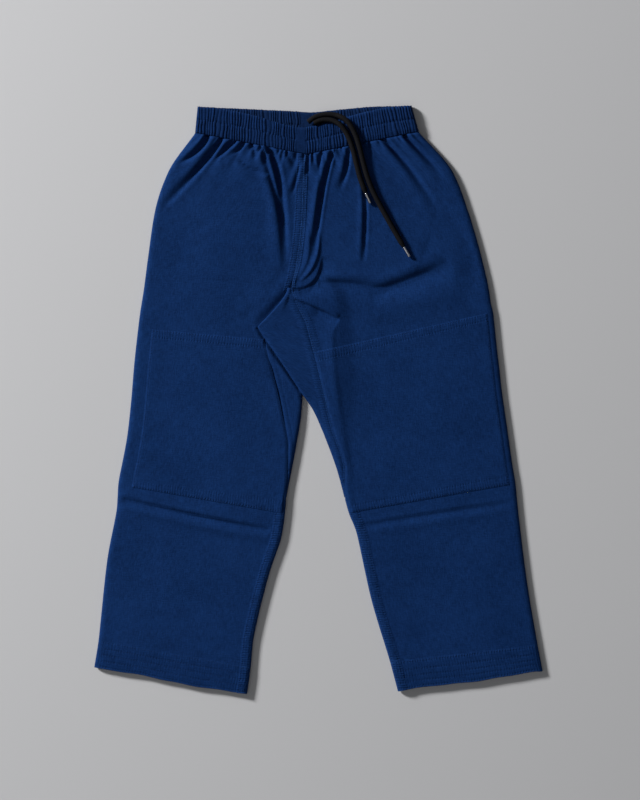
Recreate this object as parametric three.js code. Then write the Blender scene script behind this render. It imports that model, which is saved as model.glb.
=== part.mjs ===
// Gi trousers laid flat with the front up: cut panels, gusset, knee patches, gathered waistband, drawcord.
// Millimetres. X runs across the waist with the wearer's right leg on the minus side, Y from the hems
// to the waist, and Z up from the surface that the trousers lie on.
import * as THREE from 'three';

// Cloth and seams
const CLOTH = 1.2;
const SEAM = 0.3;
const PATCH_CLOTH = 1.0;
const TURN_UP_CLOTH = 0.9;

// Edges of a leg lying flat
const SIDE_ROLL = 7;
const INSEAM_ROLL = 0.9;
const SEAM_MARGIN = 6;
const LEAST_HOLLOW = 0.6;
const FLAP_HEIGHT = 5.3;
const FLAP_FOOT = 3;
const FOOT_MARGIN = 6.4;

// Columns and rows of the panels
const COLUMNS = 20;
const SIDE_COLUMNS = 3;
const SEAM_COLUMNS = 3;
const PATCH_INSET = 17;
const GATHER_DEPTH = 0.55;
const GATHER_REACH = 1.6;

// Waistband
const BAND_CLOTH = 3.4;
const RIB_PITCH = 4;
const RIB_HEIGHT = 0.8;
const BAND_GAP = 0.4;
const BAND_ROLL = 4.2;
const BAND_EDGE = 0.3;
const CENTRE_FRONT = -15.7;
const FRONT_PLAIN = 12;
const CENTRE_BACK = { x: -16.95, y: 314 };
const BACK_PLAIN_FROM = -22;
const BACK_PLAIN_TO = -8;

// Drawcord
const CORD_DIAMETER = 5.6;
const CORD_SIDES = 8;
const CORD_STEP = 6;
const AGLET_DIAMETER = 3.8;
const AGLET_SIDES = 12;
const AGLET_BEVEL = 0.6;

// Turns rows of numbers under a heading into records with named values.
function table(heading, rows) {
  const names = heading.split(' ');
  return rows.map((row) => Object.fromEntries(names.map((name, i) => [name, row[i]])));
}

// A leg is cut by slanting sections from its side edge to its inner edge. frontX and backX are where the
// front and back panels end, top is the height of the cloth, edgeTop its height near the inner edge, shelf
// and soft how far that reaches, lift how high the inner edge is carried, and cuts the rows to the next one.
const SECTION = 'place sideX sideY edgeX edgeY frontX backX top edgeTop lift shelf soft cuts';

const RIGHT_LEG = table(SECTION, [
  ['waist', -148.3, 320.4, 3.1, 290.9, -16, -17.2, 7.6, 7.6, 0, 20, 20, 3],
  ['pleats', -180.7, 273.6, 3.1, 252, -17.8, -17.2, 6.9, 6.9, 0, 20, 20, 3],
  ['hip', -196.3, 228, 3.1, 211.2, -19.6, -17.2, 6.2, 6.2, 0, 20, 20, 2],
  ['seat', -204.7, 172.8, 3.1, 165.6, -25, -17.2, 5.9, 5.6, 0, 30, 20, 2],
  ['crotch', -210.1, 132, -17.6, 129.6, -33.4, -19.4, 5.8, 4.6, 0, 34, 18, 2],
  ['flap', -214.3, 105.6, -17.5, 96, -51.1, -19.3, 5.8, 4.6, 0, 62, 18, 2],
  ['patchTop', -216.7, 86.4, -17.8, 68.4, -64.9, -29.5, 5.8, 4.6, 0, 50, 18, 2],
  ['thigh', -221.5, 43.2, -18.4, 26.4, -54.1, -30.1, 5.8, 4.7, 0, 28, 16, 2],
  ['fork', -225.1, 0, -20.5, -14.4, -44.5, -32.5, 5.8, 5.2, 0, 10, 16, 2],
  ['knee', -229.9, -43.2, -27.7, -60, -37.3, -39.1, 5.8, 5.8, 0, 10, 16, 2],
  ['gussetTip', -239.5, -93.6, -38.5, -117.6, -39.1, -39.1, 5.8, 5.8, 0, 10, 16, 1],
  ['patchEnd', -240.7, -102, -40.4, -136.8, -40.4, -40.4, 5.8, 5.8, 0, 10, 16, 2],
  ['crease', -242.2, -128, -44, -162, -44, -44, 5.8, 5.8, 0, 10, 16, 2],
  ['calf', -253.9, -192, -60, -211.2, -60, -60, 5.8, 5.8, 0, 10, 16, 2],
  ['hemTop', -264.4, -289.2, -81.6, -321.6, -81.6, -81.6, 5.8, 5.8, 0, 10, 16, 1],
  ['hemEdge', -269.5, -321, -85.9, -354, -85.9, -85.9, 5.6, 5.6, 0, 10, 16, 0],
]);

const LEFT_LEG = table(SECTION, [
  ['waist', 120.5, 321.6, -37, 289.8, -15.5, -16.7, 7.6, 7.6, 0, 20, 20, 3],
  ['pleats', 161.3, 273.6, -37, 252, -17.3, -16.7, 6.9, 6.9, 0, 20, 20, 3],
  ['hip', 179.3, 228, -37, 211.2, -19.1, -16.7, 6.2, 6.2, 0, 20, 20, 2],
  ['seat', 195.5, 172.8, -41.5, 165.6, -24.5, -16.7, 5.9, 6.4, 0, 30, 20, 2],
  ['crotch', 203.9, 136.8, -37.3, 134.4, -31.9, -16.4, 5.8, 9.3, FLAP_HEIGHT, 50, 20, 2],
  ['flap', 207.2, 115.8, -73.3, 87.6, -15.7, -16, 5.8, 9.3, FLAP_HEIGHT, 90, 14, 2],
  ['patchTop', 209.6, 105.6, -46.9, 48, -6.1, -16, 5.8, 9.0, FLAP_HEIGHT, 66, 12, 2],
  ['thigh', 214.1, 64.2, -22.3, 10.8, 3.7, -11.5, 5.8, 8.6, FLAP_HEIGHT, 42, 10, 1],
  ['fork', 217.3, 37.2, -6.1, -13.2, 10.1, 5.3, 5.8, 7.6, 1.9, 27, 10, 2],
  ['knee', 220.1, 12, 4.1, -36, 16.1, 15.5, 5.8, 6.8, 0, 20, 8, 2],
  ['shin', 227.3, -38.4, 22.1, -84, 31.1, 32.9, 5.8, 6.2, 0, 12, 8, 1],
  ['gussetTip', 232.7, -76.8, 31.2, -117.6, 31.8, 31.8, 5.8, 5.8, 0, 10, 8, 1],
  ['patchEnd', 236.6, -100.8, 36.5, -136.2, 36.5, 36.5, 5.8, 5.8, 0, 10, 16, 2],
  ['crease', 239.4, -129, 44.5, -156, 44.5, 44.5, 5.8, 5.8, 0, 10, 16, 2],
  ['calf', 250.1, -216, 63.5, -240, 63.5, 63.5, 5.8, 5.8, 0, 10, 16, 2],
  ['hemTop', 263.3, -294.6, 86, -315, 86, 86, 5.8, 5.8, 0, 10, 16, 1],
  ['hemEdge', 269.3, -325.8, 95.3, -349.8, 95.3, 95.3, 5.6, 5.6, 0, 10, 16, 0],
]);

// Folds run along an arc from one point through a middle one to an end. rise is the height of the ridge,
// or the depth of the trough where it is below zero, and from and to are half its breadth at its two ends.
// A gathered fold is at its fullest where it leaves the waistband.
const FOLDS = table('place x0 y0 x1 y1 x2 y2 rise from to gathered', [
  ['sidePleat', -131.5, 316.8, -144.7, 297.6, -174.7, 280.8, -1.6, 4, 5, 1],
  ['hipPleat', -115.9, 314.4, -136.3, 284.4, -190.3, 226.8, -2, 4.5, 7, 1],
  ['shortPleat', -99.1, 309.6, -111.1, 300, -125.5, 286.8, -1.8, 4, 4, 1],
  ['smile', -94.3, 288, -79.9, 278.4, -61.9, 272.4, -1.2, 4, 4, 0],
  ['innerPleat', -66.7, 301.2, -55.9, 264, -40.3, 210, -1.5, 4, 6, 1],
  ['longPleat', -55.9, 302.4, -42.7, 258, -37.9, 153.6, -2.2, 4.5, 8, 1],
  ['seamRidge', -33.1, 280.8, -29.5, 222, -28.3, 158.4, 1.4, 5, 6, 0],
  ['frontRidge', -7.9, 285.6, -4.3, 222, -17.5, 156, 2.6, 6, 6, 0],
  ['frontTrough', 18.5, 296.4, 5.3, 240, -7.9, 153.6, -2.4, 4, 6, 1],
  ['leftInnerPleat', 36.5, 297.6, 34.1, 276, 25.7, 252, -1.5, 4, 5, 1],
  ['leftCrease', 53.3, 252, 58.1, 216, 54.5, 165.6, -1.2, 4, 5, 0],
  ['leftHipPleat', 74.9, 313.2, 102.5, 288, 146.9, 224.4, -1.9, 4, 7, 1],
  ['leftSidePleat', 102.5, 318, 124.1, 297.6, 150.5, 268.8, -1.8, 4, 6, 1],
  ['leftEdgePleat', 115.7, 320.4, 126.5, 309.6, 138.5, 300, -1.4, 4, 4, 1],
  ['seatTrough', 19.7, 141.6, 85.7, 121.2, 166.1, 160.8, -1.8, 10, 10, 0],
  ['hipTrough', 133.7, 246, 179.3, 186, 181.7, 129.6, -1, 12, 12, 0],
  ['leftSeatSwell', 79.7, 213.6, 103.7, 192, 127.7, 180, 1.4, 28, 28, 0],
  ['rightSeatSwell', -130.3, 210, -124.3, 180, -124.3, 144, 1.4, 28, 28, 0],
  ['crotchCrease', -34.3, 134.4, -15.1, 134.4, 2.9, 168, -2.4, 4, 5, 0],
  ['gussetCrease', -31.9, 118.8, -10.3, 112.8, 18.5, 97.2, -2, 4, 5, 0],
  ['kneeRidge', -239.5, -112.8, -154.3, -134.4, -63.1, -147.6, 1.2, 7, 7, 0],
  ['kneeCrease', -241.9, -127.2, -154.3, -148.8, -67.9, -163.2, -1.8, 7, 7, 0],
  ['leftKneeRidge', 46.1, -141.6, 133.7, -128.4, 236.9, -114, 0.8, 7, 7, 0],
  ['leftKneeCrease', 44.9, -156, 133.7, -141.6, 239.3, -129.6, -1.3, 8, 8, 0],
]);

// Upper edge of the waistband, at the front and at the back.
const FRONT_EDGE = table('x y', [
  [-147.1, 352.2], [-124.3, 351], [-94.3, 345.6], [-70.3, 339.6], [-46.3, 331.8], [-28.3, 327.6],
  [-15.7, 327], [7.7, 331.8], [37.7, 340.8], [55.7, 345.6], [79.7, 351], [97.7, 352.8], [116.9, 353.4],
]);

const BACK_EDGE = table('x y', [
  [-147.1, 352.6], [-88.3, 350], [-22.3, 346.8], [-5.5, 345.8], [13.7, 348], [37.7, 350.4],
  [64.1, 352.8], [116.9, 353.8],
]);

// Side edges of the waistband, at its upper edge and at the seam.
const BAND_SIDES = {
  right: { upper: -145.2, lower: -148.3, seamY: 320.4 },
  left: { upper: 111.6, lower: 120.5, seamY: 321.6 },
};

// Routes of the two free ends of the drawcord, from inside the front waistband over its edge to the tips.
const LONG_END = table('x y z', [
  [-12.7, 333.2, 7.6], [-4.1, 339.2, 7.9], [7.4, 342.2, 8.2], [19.4, 341.6, 9.2], [29.8, 337.2, 11.6],
  [38.2, 328.4, 12.5], [44.4, 316.2, 12.3], [49.2, 301.2, 12.2], [53.2, 285.2, 11.2], [58, 268.2, 10.4],
  [64.6, 251, 9.8], [73.2, 234, 9.6], [82.5, 217.2, 9.8], [92, 200.4, 10.1], [101.9, 183.6, 10.3],
]);

const SHORT_END = table('x y z', [
  [-5.6, 331.8, 8.6], [2.6, 335.2, 8.9], [10.8, 335.8, 9.6], [18.2, 334.2, 10.8], [25.4, 329.6, 12.2],
  [31.9, 321.4, 12.3], [37.1, 311, 12.3], [41.5, 298.2, 12.2], [45.4, 282.6, 11.2], [49.6, 266.4, 10.4],
  [56.2, 248.2, 9.8],
]);

const LONG_TIP = new THREE.Vector3(108.8, 171.9, 9.4);
const SHORT_TIP = new THREE.Vector3(61.8, 235.9, 8.8);

const NAVY_DRILL = new THREE.MeshStandardMaterial({ color: 0x12305c, roughness: 0.88, metalness: 0 });
const BLACK_BRAID = new THREE.MeshStandardMaterial({ color: 0x101116, roughness: 0.75, metalness: 0 });
const BRIGHT_METAL = new THREE.MeshStandardMaterial({ color: 0xb9bcc2, roughness: 0.3, metalness: 1 });

const mix = (a, b, t) => a + (b - a) * t;
const clamp = (value, low, high) => Math.min(high, Math.max(low, value));
const smooth = (t) => clamp(t, 0, 1) ** 2 * (3 - 2 * clamp(t, 0, 1));
const quarter = (t) => Math.sqrt(Math.max(0, 1 - t * t));

// A curve through values at whole steps that never runs past them.
function monotone(values, t) {
  const last = values.length - 1;
  const i = clamp(Math.floor(t), 0, last - 1);
  const slope = (k) => {
    if (k <= 0 || k >= last) return 0;
    const before = values[k] - values[k - 1];
    const after = values[k + 1] - values[k];
    return before * after <= 0 ? 0 : (2 * before * after) / (before + after);
  };
  const endSlope = (k, side) => (k <= 0 || k >= last ? side : slope(k));
  const rise = values[i + 1] - values[i];
  const m0 = endSlope(i, rise);
  const m1 = endSlope(i + 1, rise);
  const f = t - i;
  return values[i] + f * m0 + f * f * (3 * rise - 2 * m0 - m1) + f ** 3 * (m0 + m1 - 2 * rise);
}

// Height along an edge table at a place across the waist.
function edgeHeight(edge, x) {
  const next = clamp(edge.findIndex((point) => point.x > x), 1, edge.length - 1);
  const [a, b] = [edge[next - 1], edge[edge.findIndex((point) => point.x > x) < 0 ? edge.length - 1 : next]];
  return mix(a.y, b.y, clamp((x - a.x) / (b.x - a.x), 0, 1));
}

// One section of a leg at any place between the rows of its table.
function sectionAt(leg, t) {
  const value = (name) => monotone(leg.map((section) => section[name]), t);
  const side = new THREE.Vector2(value('sideX'), value('sideY'));
  const edge = new THREE.Vector2(value('edgeX'), value('edgeY'));
  const length = side.distanceTo(edge);
  const across = edge.clone().sub(side).divideScalar(length);
  const reach = (name) => ((value(name) - side.x) / (edge.x - side.x)) * length;
  const [top, edgeTop, lift] = [value('top'), value('edgeTop'), value('lift')];
  return {
    t, side, across, length, top, edgeTop, lift, front: Math.min(reach('frontX'), length),
    back: Math.min(reach('backX'), length), shelf: value('shelf'), soft: value('soft'),
    roll: INSEAM_ROLL * (edgeTop - lift), middle: (edgeTop + lift) / 2,
  };
}

const placeOn = (section, s) => section.side.clone().addScaledVector(section.across, s);

// Folds are followed through a few points each.
const FOLD_STEPS = 8;
const FOLD_LINES = FOLDS.map((fold) => {
  const start = new THREE.Vector2(fold.x0, fold.y0);
  const end = new THREE.Vector2(fold.x2, fold.y2);
  const bend = new THREE.Vector2(fold.x1, fold.y1).multiplyScalar(2).sub(start.clone().add(end).divideScalar(2));
  return { ...fold, points: new THREE.QuadraticBezierCurve(start, bend, end).getPoints(FOLD_STEPS) };
});

// How much one fold raises or lowers the cloth at a point.
function foldRise(fold, point) {
  let nearest = Infinity;
  let along = 0;
  for (let i = 0; i < FOLD_STEPS; i += 1) {
    const [a, b] = [fold.points[i], fold.points[i + 1]];
    const run = b.clone().sub(a);
    const f = clamp(point.clone().sub(a).dot(run) / run.lengthSq(), 0, 1);
    const distance = point.distanceTo(a.clone().addScaledVector(run, f));
    if (distance < nearest) [nearest, along] = [distance, (i + f) / FOLD_STEPS];
  }
  const breadth = mix(fold.from, fold.to, along);
  const fullness = fold.gathered ? 1 - along ** 3 : quarter(2 * along - 1);
  return fold.rise * fullness * Math.exp(-((nearest / breadth) ** 2));
}

// Lowest that the upper layer may lie over what is under it.
function leastHeight(section, s) {
  const overFlap = section.lift > 0 && s > section.back - CLOTH;
  return overFlap ? section.lift + 2 * CLOTH + SEAM : 2 * CLOTH + LEAST_HOLLOW;
}

// Height of the upper face of the cloth, a distance s from the side edge. column is its place in the gathers.
function upperHeight(section, s, column) {
  const inner = section.length - s;
  const level = mix(section.edgeTop, section.top, smooth((inner - section.shelf) / section.soft));
  const sideMiddle = section.top / 2;
  if (s < SIDE_ROLL) {
    const rolled = sideMiddle + (level - sideMiddle) * quarter((SIDE_ROLL - s) / SIDE_ROLL);
    return Math.max(rolled, sideMiddle + SEAM / 2);
  }
  const point = placeOn(section, s);
  const folds = FOLD_LINES.reduce((sum, fold) => sum + foldRise(fold, point), 0);
  const gathers = GATHER_DEPTH * Math.cos(2 * Math.PI * column) * (1 - smooth(section.t / GATHER_REACH));
  const clear = smooth((s - SIDE_ROLL) / SIDE_ROLL) * smooth((inner - section.roll) / SEAM_MARGIN);
  const height = Math.max(level + (folds + gathers) * clear, leastHeight(section, s));
  if (inner >= section.roll) return height;
  const rolled = section.middle + (level - section.middle) * quarter((section.roll - inner) / section.roll);
  return Math.max(rolled, section.middle + SEAM / 2);
}

// Height of the lower face of a back panel.
function lowerHeight(section, s) {
  const inner = section.length - s;
  const sideMiddle = section.top / 2;
  if (s < SIDE_ROLL) {
    return Math.min(sideMiddle * (1 - quarter((SIDE_ROLL - s) / SIDE_ROLL)), sideMiddle - SEAM);
  }
  if (inner >= section.roll || section.lift > 0) return 0;
  return Math.min(section.middle * (1 - quarter((section.roll - inner) / section.roll)), section.middle - SEAM / 2);
}

// Distance from the side edge of a column that ends at the seam: rolled side, patch inset, field, seam.
function columnPlace(section, column, end) {
  const seamStart = Math.min(section.length - section.roll, end - SEAM_MARGIN);
  const seamColumn = COLUMNS - SEAM_COLUMNS;
  if (column <= SIDE_COLUMNS) return SIDE_ROLL * (1 - Math.cos((column / SIDE_COLUMNS) * Math.PI / 2));
  if (column <= SIDE_COLUMNS + 1) return mix(SIDE_ROLL, PATCH_INSET, column - SIDE_COLUMNS);
  if (column <= seamColumn) {
    return mix(PATCH_INSET, seamStart, (column - SIDE_COLUMNS - 1) / (seamColumn - SIDE_COLUMNS - 1));
  }
  return mix(seamStart, end, Math.sin(((column - seamColumn) / SEAM_COLUMNS) * Math.PI / 2));
}

// Which way the cloth faces where it rolls over an edge: along the section and up.
function rolledFacing(section, s, z) {
  const inner = section.length - s;
  if (s === 0) return [-1, 0];
  if (s < SIDE_ROLL) {
    const half = section.top / 2;
    return [(s - SIDE_ROLL) / SIDE_ROLL ** 2, (z - half) / half ** 2];
  }
  if (inner < section.roll) {
    const half = (section.edgeTop - section.lift) / 2;
    return [(section.roll - inner) / section.roll ** 2, (z - section.middle) / half ** 2];
  }
  return null;
}

// Outward direction at each point of a grid, from its neighbours, or from the roll at its edges.
// On a seam it keeps to the plane of the seam, so that two pieces never reach into each other.
function facings(grid, sign) {
  return grid.map((row, i) => row.map((point, j) => {
    const flat = point.section.across;
    const rolled = point.facing ?? rolledFacing(point.section, point.s, point.z);
    if (rolled) return new THREE.Vector3(flat.x * rolled[0], flat.y * rolled[0], rolled[1]).normalize();
    const share = (other) => Math.round((j * (other.length - 1)) / (row.length - 1));
    const above = grid[Math.max(i - 1, 0)];
    const below = grid[Math.min(i + 1, grid.length - 1)];
    const down = below[share(below)].at.clone().sub(above[share(above)].at);
    const over = row[Math.min(j + 1, row.length - 1)].at.clone().sub(row[Math.max(j - 1, 0)].at);
    const facing = over.cross(down).multiplyScalar(sign);
    const ofAcross = j === row.length - 1 ? 0 : facing.x * flat.x + facing.y * flat.y;
    const ofAlong = i === 0 || i === grid.length - 1 ? 0 : facing.y * flat.x - facing.x * flat.y;
    const x = ofAcross * flat.x - ofAlong * flat.y;
    return new THREE.Vector3(x, ofAcross * flat.y + ofAlong * flat.x, facing.z).normalize();
  }));
}

// Joins two rows of points, which may differ in number, with triangles that face one way or the other.
function strip(a, b, triangles, turned = false) {
  const add = (p, q, r) => triangles.push(p, turned ? r : q, turned ? q : r);
  let [i, j] = [0, 0];
  while (i < a.length - 1 || j < b.length - 1) {
    const nextA = (i + 1) / (a.length - 1);
    const nextB = (j + 1) / (b.length - 1);
    if (j >= b.length - 1 || (i < a.length - 1 && nextA <= nextB)) {
      add(a[i], a[i + 1], b[j]);
      i += 1;
    } else {
      add(a[i], b[j + 1], b[j]);
      j += 1;
    }
  }
}

// A closed wall between an outer and an inner grid of points.
function wall(outer, inner) {
  const positions = [];
  const numbered = (grid) => grid.map((row) => row.map((at) => {
    positions.push(at.x, at.y, at.z);
    return positions.length / 3 - 1;
  }));
  const [outside, inside] = [numbered(outer), numbered(inner)];
  const triangles = [];
  const last = (grid) => grid[grid.length - 1];
  for (let i = 0; i < outside.length - 1; i += 1) strip(outside[i], outside[i + 1], triangles);
  for (let i = 0; i < inside.length - 1; i += 1) strip(inside[i], inside[i + 1], triangles, true);
  const start = (grid) => grid.map((row) => row[0]);
  const end = (grid) => grid.map((row) => row[row.length - 1]);
  strip(inside[0], outside[0], triangles);
  strip(last(outside), last(inside), triangles);
  strip(start(outside), start(inside), triangles);
  strip(end(inside), end(outside), triangles);
  return closedGeometry(positions, triangles);
}

// A geometry whose faces point outwards, whichever way its points were listed.
function closedGeometry(positions, triangles) {
  const corner = (index) => new THREE.Vector3().fromArray(positions, index * 3);
  let volume = 0;
  for (let k = 0; k < triangles.length; k += 3) {
    volume += corner(triangles[k]).dot(corner(triangles[k + 1]).cross(corner(triangles[k + 2])));
  }
  const facing = volume < 0 ? [...triangles].reverse() : triangles;
  const geometry = new THREE.BufferGeometry();
  geometry.setAttribute('position', new THREE.Float32BufferAttribute(positions, 3));
  geometry.setIndex(facing);
  geometry.computeVertexNormals();
  return geometry;
}

// A grid moved along its facings, outwards where distance is above zero.
function moved(grid, directions, distance) {
  return grid.map((row, i) => row.map((point, j) => point.at.clone().addScaledVector(directions[i][j], distance)));
}

// Places along a leg's table, with each section's own number of rows between it and the next.
function rowPlaces(leg, from, to) {
  const places = [];
  for (let i = from; i < to; i += 1) {
    for (let cut = 0; cut < leg[i].cuts; cut += 1) places.push(i + cut / leg[i].cuts);
  }
  return [...places, to];
}

const indexOf = (leg, place) => leg.findIndex((section) => section.place === place);

function gridPoint(section, s, z) {
  const flat = placeOn(section, s);
  return { section, s, z, at: new THREE.Vector3(flat.x, flat.y, z) };
}

// Upper face of a front panel, with twice the columns in its gathered part.
function frontGrid(leg) {
  const gathered = indexOf(leg, 'seat');
  return rowPlaces(leg, 0, leg.length - 1).map((t) => {
    const section = sectionAt(leg, t);
    const step = t < gathered ? 0.5 : 1;
    const row = [];
    for (let column = 0; column <= COLUMNS; column += step) {
      const s = columnPlace(section, column, section.front);
      row.push(gridPoint(section, s, upperHeight(section, s, column)));
    }
    return row;
  });
}

// Lower face of a back panel, with a row at each section and at each row of the gusset.
function backGrid(leg) {
  const inField = [7, 12];
  const columns = [0, 1, 2, 3, ...inField, 17, 18, 19, 20];
  const beside = (t) => t > indexOf(leg, 'crotch') && t < indexOf(leg, 'gussetTip');
  return rowPlaces(leg, 0, leg.length - 1).filter((t) => Number.isInteger(t) || beside(t)).map((t) => {
    const section = sectionAt(leg, t);
    return columns.map((column) => {
      const s = columnPlace(section, column, section.back);
      const point = gridPoint(section, s, lowerHeight(section, s));
      if (t === 0) point.at.y = mix(section.side.y, CENTRE_BACK.y, s / section.back) - SEAM;
      return point;
    });
  });
}

function panel(grid, sign) {
  const directions = facings(grid, sign);
  return wall(grid.map((row) => row.map((point) => point.at)), moved(grid, directions, -CLOTH));
}

// A piece that lies on or under a panel, made from the panel's own points between two of its sections.
function layer(grid, sign, leg, from, to, columns, near, far) {
  const directions = facings(grid, sign);
  const [first, last] = [indexOf(leg, from), indexOf(leg, to)];
  const chosen = grid.map((_, i) => i).filter((i) => {
    const { t } = grid[i][0].section;
    return t >= first && t <= last;
  });
  const pick = (source) => chosen.map((i) => source[i].slice(columns[0], columns[1]));
  return wall(moved(pick(grid), pick(directions), far), moved(pick(grid), pick(directions), near));
}

// Path of half the gusset at one section: from the back seam, round the inner edge, to the front seam.
function gussetPath(section) {
  const { length, roll, lift, edgeTop, middle } = section;
  const half = (edgeTop - lift) / 2;
  const raised = clamp(lift / FLAP_HEIGHT, 0, 1);
  const foot = section.back + SEAM + FOOT_MARGIN * raised * (1 - raised);
  const startHeight = raised * (CLOTH + SEAM);
  const turn = (reach) => Math.acos(clamp((roll - reach) / roll, 0, 1));
  const [startTurn, endTurn] = [turn(length - foot), turn(length - section.front - SEAM)];
  const path = [];
  const straight = length - roll;
  const width = Math.min(FLAP_FOOT * raised, straight - foot);
  const height = lift - startHeight;
  if (width > 0) {
    const riserSteps = 6;
    for (let k = 0; k <= riserSteps; k += 1) {
      const f = k / riserSteps;
      const rise = quarter(1 - f);
      const facing = new THREE.Vector2((1 - f) / width, -rise / height).normalize();
      facing.lerp(new THREE.Vector2(0, -1), 1 - raised).normalize();
      path.push({ s: foot + width * f, z: mix(startHeight, lift, rise), facing });
    }
  } else if (foot < straight) {
    path.push({ s: foot, z: lift, facing: new THREE.Vector2(0, -1) });
  }
  const arcSteps = 16;
  for (let k = 0; k <= arcSteps; k += 1) {
    const angle = mix(-startTurn, endTurn, k / arcSteps);
    const facing = new THREE.Vector2(Math.cos(angle) / roll, Math.sin(angle) / half).normalize();
    path.push({ s: straight + roll * Math.cos(angle), z: middle + half * Math.sin(angle), facing });
  }
  const end = section.front + SEAM;
  if (end < straight) path.push({ s: end, z: edgeTop, facing: new THREE.Vector2(0, 1) });
  return { path, lower: Math.max(straight - foot, 0), upper: Math.max(straight - end, 0) };
}

// Points of the gusset at one section: some on the layer below, most round the fold, some on top.
function gussetRow(section) {
  const share = { lower: 5, fold: 6, upper: 4 };
  const { path, lower, upper } = gussetPath(section);
  const runs = [0];
  for (let k = 1; k < path.length; k += 1) {
    runs.push(runs[k - 1] + Math.hypot(path[k].s - path[k - 1].s, path[k].z - path[k - 1].z));
  }
  const total = runs[runs.length - 1];
  const least = 0.2 * total;
  const [first, second] = [Math.max(lower, least), total - Math.max(upper, least)];
  const at = (run) => {
    const k = clamp(runs.findIndex((value) => value >= run), 1, runs.length - 1);
    const f = clamp((run - runs[k - 1]) / (runs[k] - runs[k - 1]), 0, 1);
    const [a, b] = [path[k - 1], path[k]];
    const facing = a.facing.clone().lerp(b.facing, f).normalize();
    return { ...gridPoint(section, mix(a.s, b.s, f), mix(a.z, b.z, f)), facing: [facing.x, facing.y] };
  };
  const row = [];
  for (let k = 0; k < share.lower; k += 1) row.push(at(first * (k / share.lower) ** 1.6));
  for (let k = 0; k < share.fold; k += 1) row.push(at(mix(first, second, k / share.fold)));
  for (let k = 0; k <= share.upper; k += 1) row.push(at(mix(second, total, k / share.upper)));
  return row;
}

// Half of the gusset. It stops just short of its tip, where its two seams meet.
function gusset(leg) {
  const tip = indexOf(leg, 'gussetTip') - 0.3;
  const places = rowPlaces(leg, indexOf(leg, 'crotch'), indexOf(leg, 'gussetTip')).filter((t) => t < tip);
  const grid = [...places, tip].map((t) => gussetRow(sectionAt(leg, t)));
  return panel(grid, 1);
}

// Rib of the gathered band at a column: high on every second one, flat in a plain strip.
const ribHeight = (column, plain) => (plain ? 0 : (column % 2 ? RIB_HEIGHT : 0));

// Rounded edges of the band: how full it is at a share of its width and at a distance from its side.
function bandFullness(share, fromSide) {
  const edgeShare = 0.12;
  const acrossBand = share < edgeShare || share > 1 - edgeShare ? 0.72 : 1;
  const atSide = quarter(clamp((BAND_ROLL - fromSide) / BAND_ROLL, 0, 1));
  return acrossBand * atSide;
}

// Half of the front waistband, from the side of the trousers to the centre front.
function frontBand(side, leg, gapAtCentre) {
  const waist = sectionAt(leg, 0);
  const centre = CENTRE_FRONT + gapAtCentre;
  const count = 2 * Math.round(Math.abs(side.lower - centre) / RIB_PITCH);
  const base = BAND_CLOTH + RIB_HEIGHT + BAND_GAP;
  const shares = [0, 0.12, 0.5, 0.88, 1];
  const face = shares.map((share) => Array.from({ length: count + 1 }, (_, column) => {
    const f = column / count;
    const [upperX, lowerX] = [mix(side.upper, centre, f), mix(side.lower, centre, f)];
    const seamS = (lowerX - waist.side.x) / waist.across.x;
    const seamY = placeOn(waist, seamS).y + SEAM;
    const plain = Math.abs(lowerX - CENTRE_FRONT) < FRONT_PLAIN && gapAtCentre < 0;
    const full = bandFullness(share, Math.abs(lowerX - side.lower));
    const dip = share === 0.5 ? 0.15 : 0;
    const z = base + BAND_EDGE + full * (BAND_CLOTH - BAND_EDGE + ribHeight(column, plain) - dip);
    return new THREE.Vector3(mix(upperX, lowerX, share), mix(edgeHeight(FRONT_EDGE, upperX), seamY, share), z);
  }));
  const under = [0, 1].map((share) => face[share * (shares.length - 1)].map((at) => {
    return new THREE.Vector3(at.x, at.y, base);
  }));
  return wall(face, under);
}

// The back waistband, which lies under the front one and shows its inner face at the mouth.
function backBand() {
  const { right, left } = BAND_SIDES;
  const count = 2 * Math.round((left.lower - right.lower) / RIB_PITCH);
  const shares = [0, 0.12, 0.88, 1];
  const place = (share, column) => {
    const f = column / count;
    const [upperX, lowerX] = [mix(right.upper, left.upper, f), mix(right.lower, left.lower, f)];
    const side = lowerX < CENTRE_BACK.x ? right : left;
    const seamY = mix(side.seamY, CENTRE_BACK.y, (lowerX - side.lower) / (CENTRE_BACK.x - side.lower));
    const upperY = edgeHeight(BACK_EDGE, upperX);
    return { x: mix(upperX, lowerX, share), y: mix(upperY, seamY, share), f, lowerX };
  };
  const nearSide = (f) => Math.min(f, 1 - f) * (left.lower - right.lower);
  const row = (share, height) => Array.from({ length: count + 1 }, (_, column) => {
    const { x, y, f, lowerX } = place(share, column);
    return new THREE.Vector3(x, y, height(share, column, nearSide(f), lowerX));
  });
  const top = BAND_CLOTH + RIB_HEIGHT;
  const underside = (share, column, fromSide) => {
    const atSide = quarter(clamp((BAND_ROLL - fromSide) / BAND_ROLL, 0, 1));
    return (top - 2 * BAND_EDGE) * (1 - atSide);
  };
  const face = shares.map((share) => row(share, (_, column, fromSide, x) => {
    const plain = x > BACK_PLAIN_FROM && x < BACK_PLAIN_TO;
    const full = bandFullness(share, BAND_ROLL);
    const crown = mix(1, full, clamp(fromSide / BAND_ROLL, 0, 1));
    return Math.max(crown * (BAND_CLOTH + ribHeight(column, plain)), underside(share, column, fromSide) + BAND_EDGE);
  }));
  return wall(face, [row(0, underside), row(1, underside)]);
}

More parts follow.
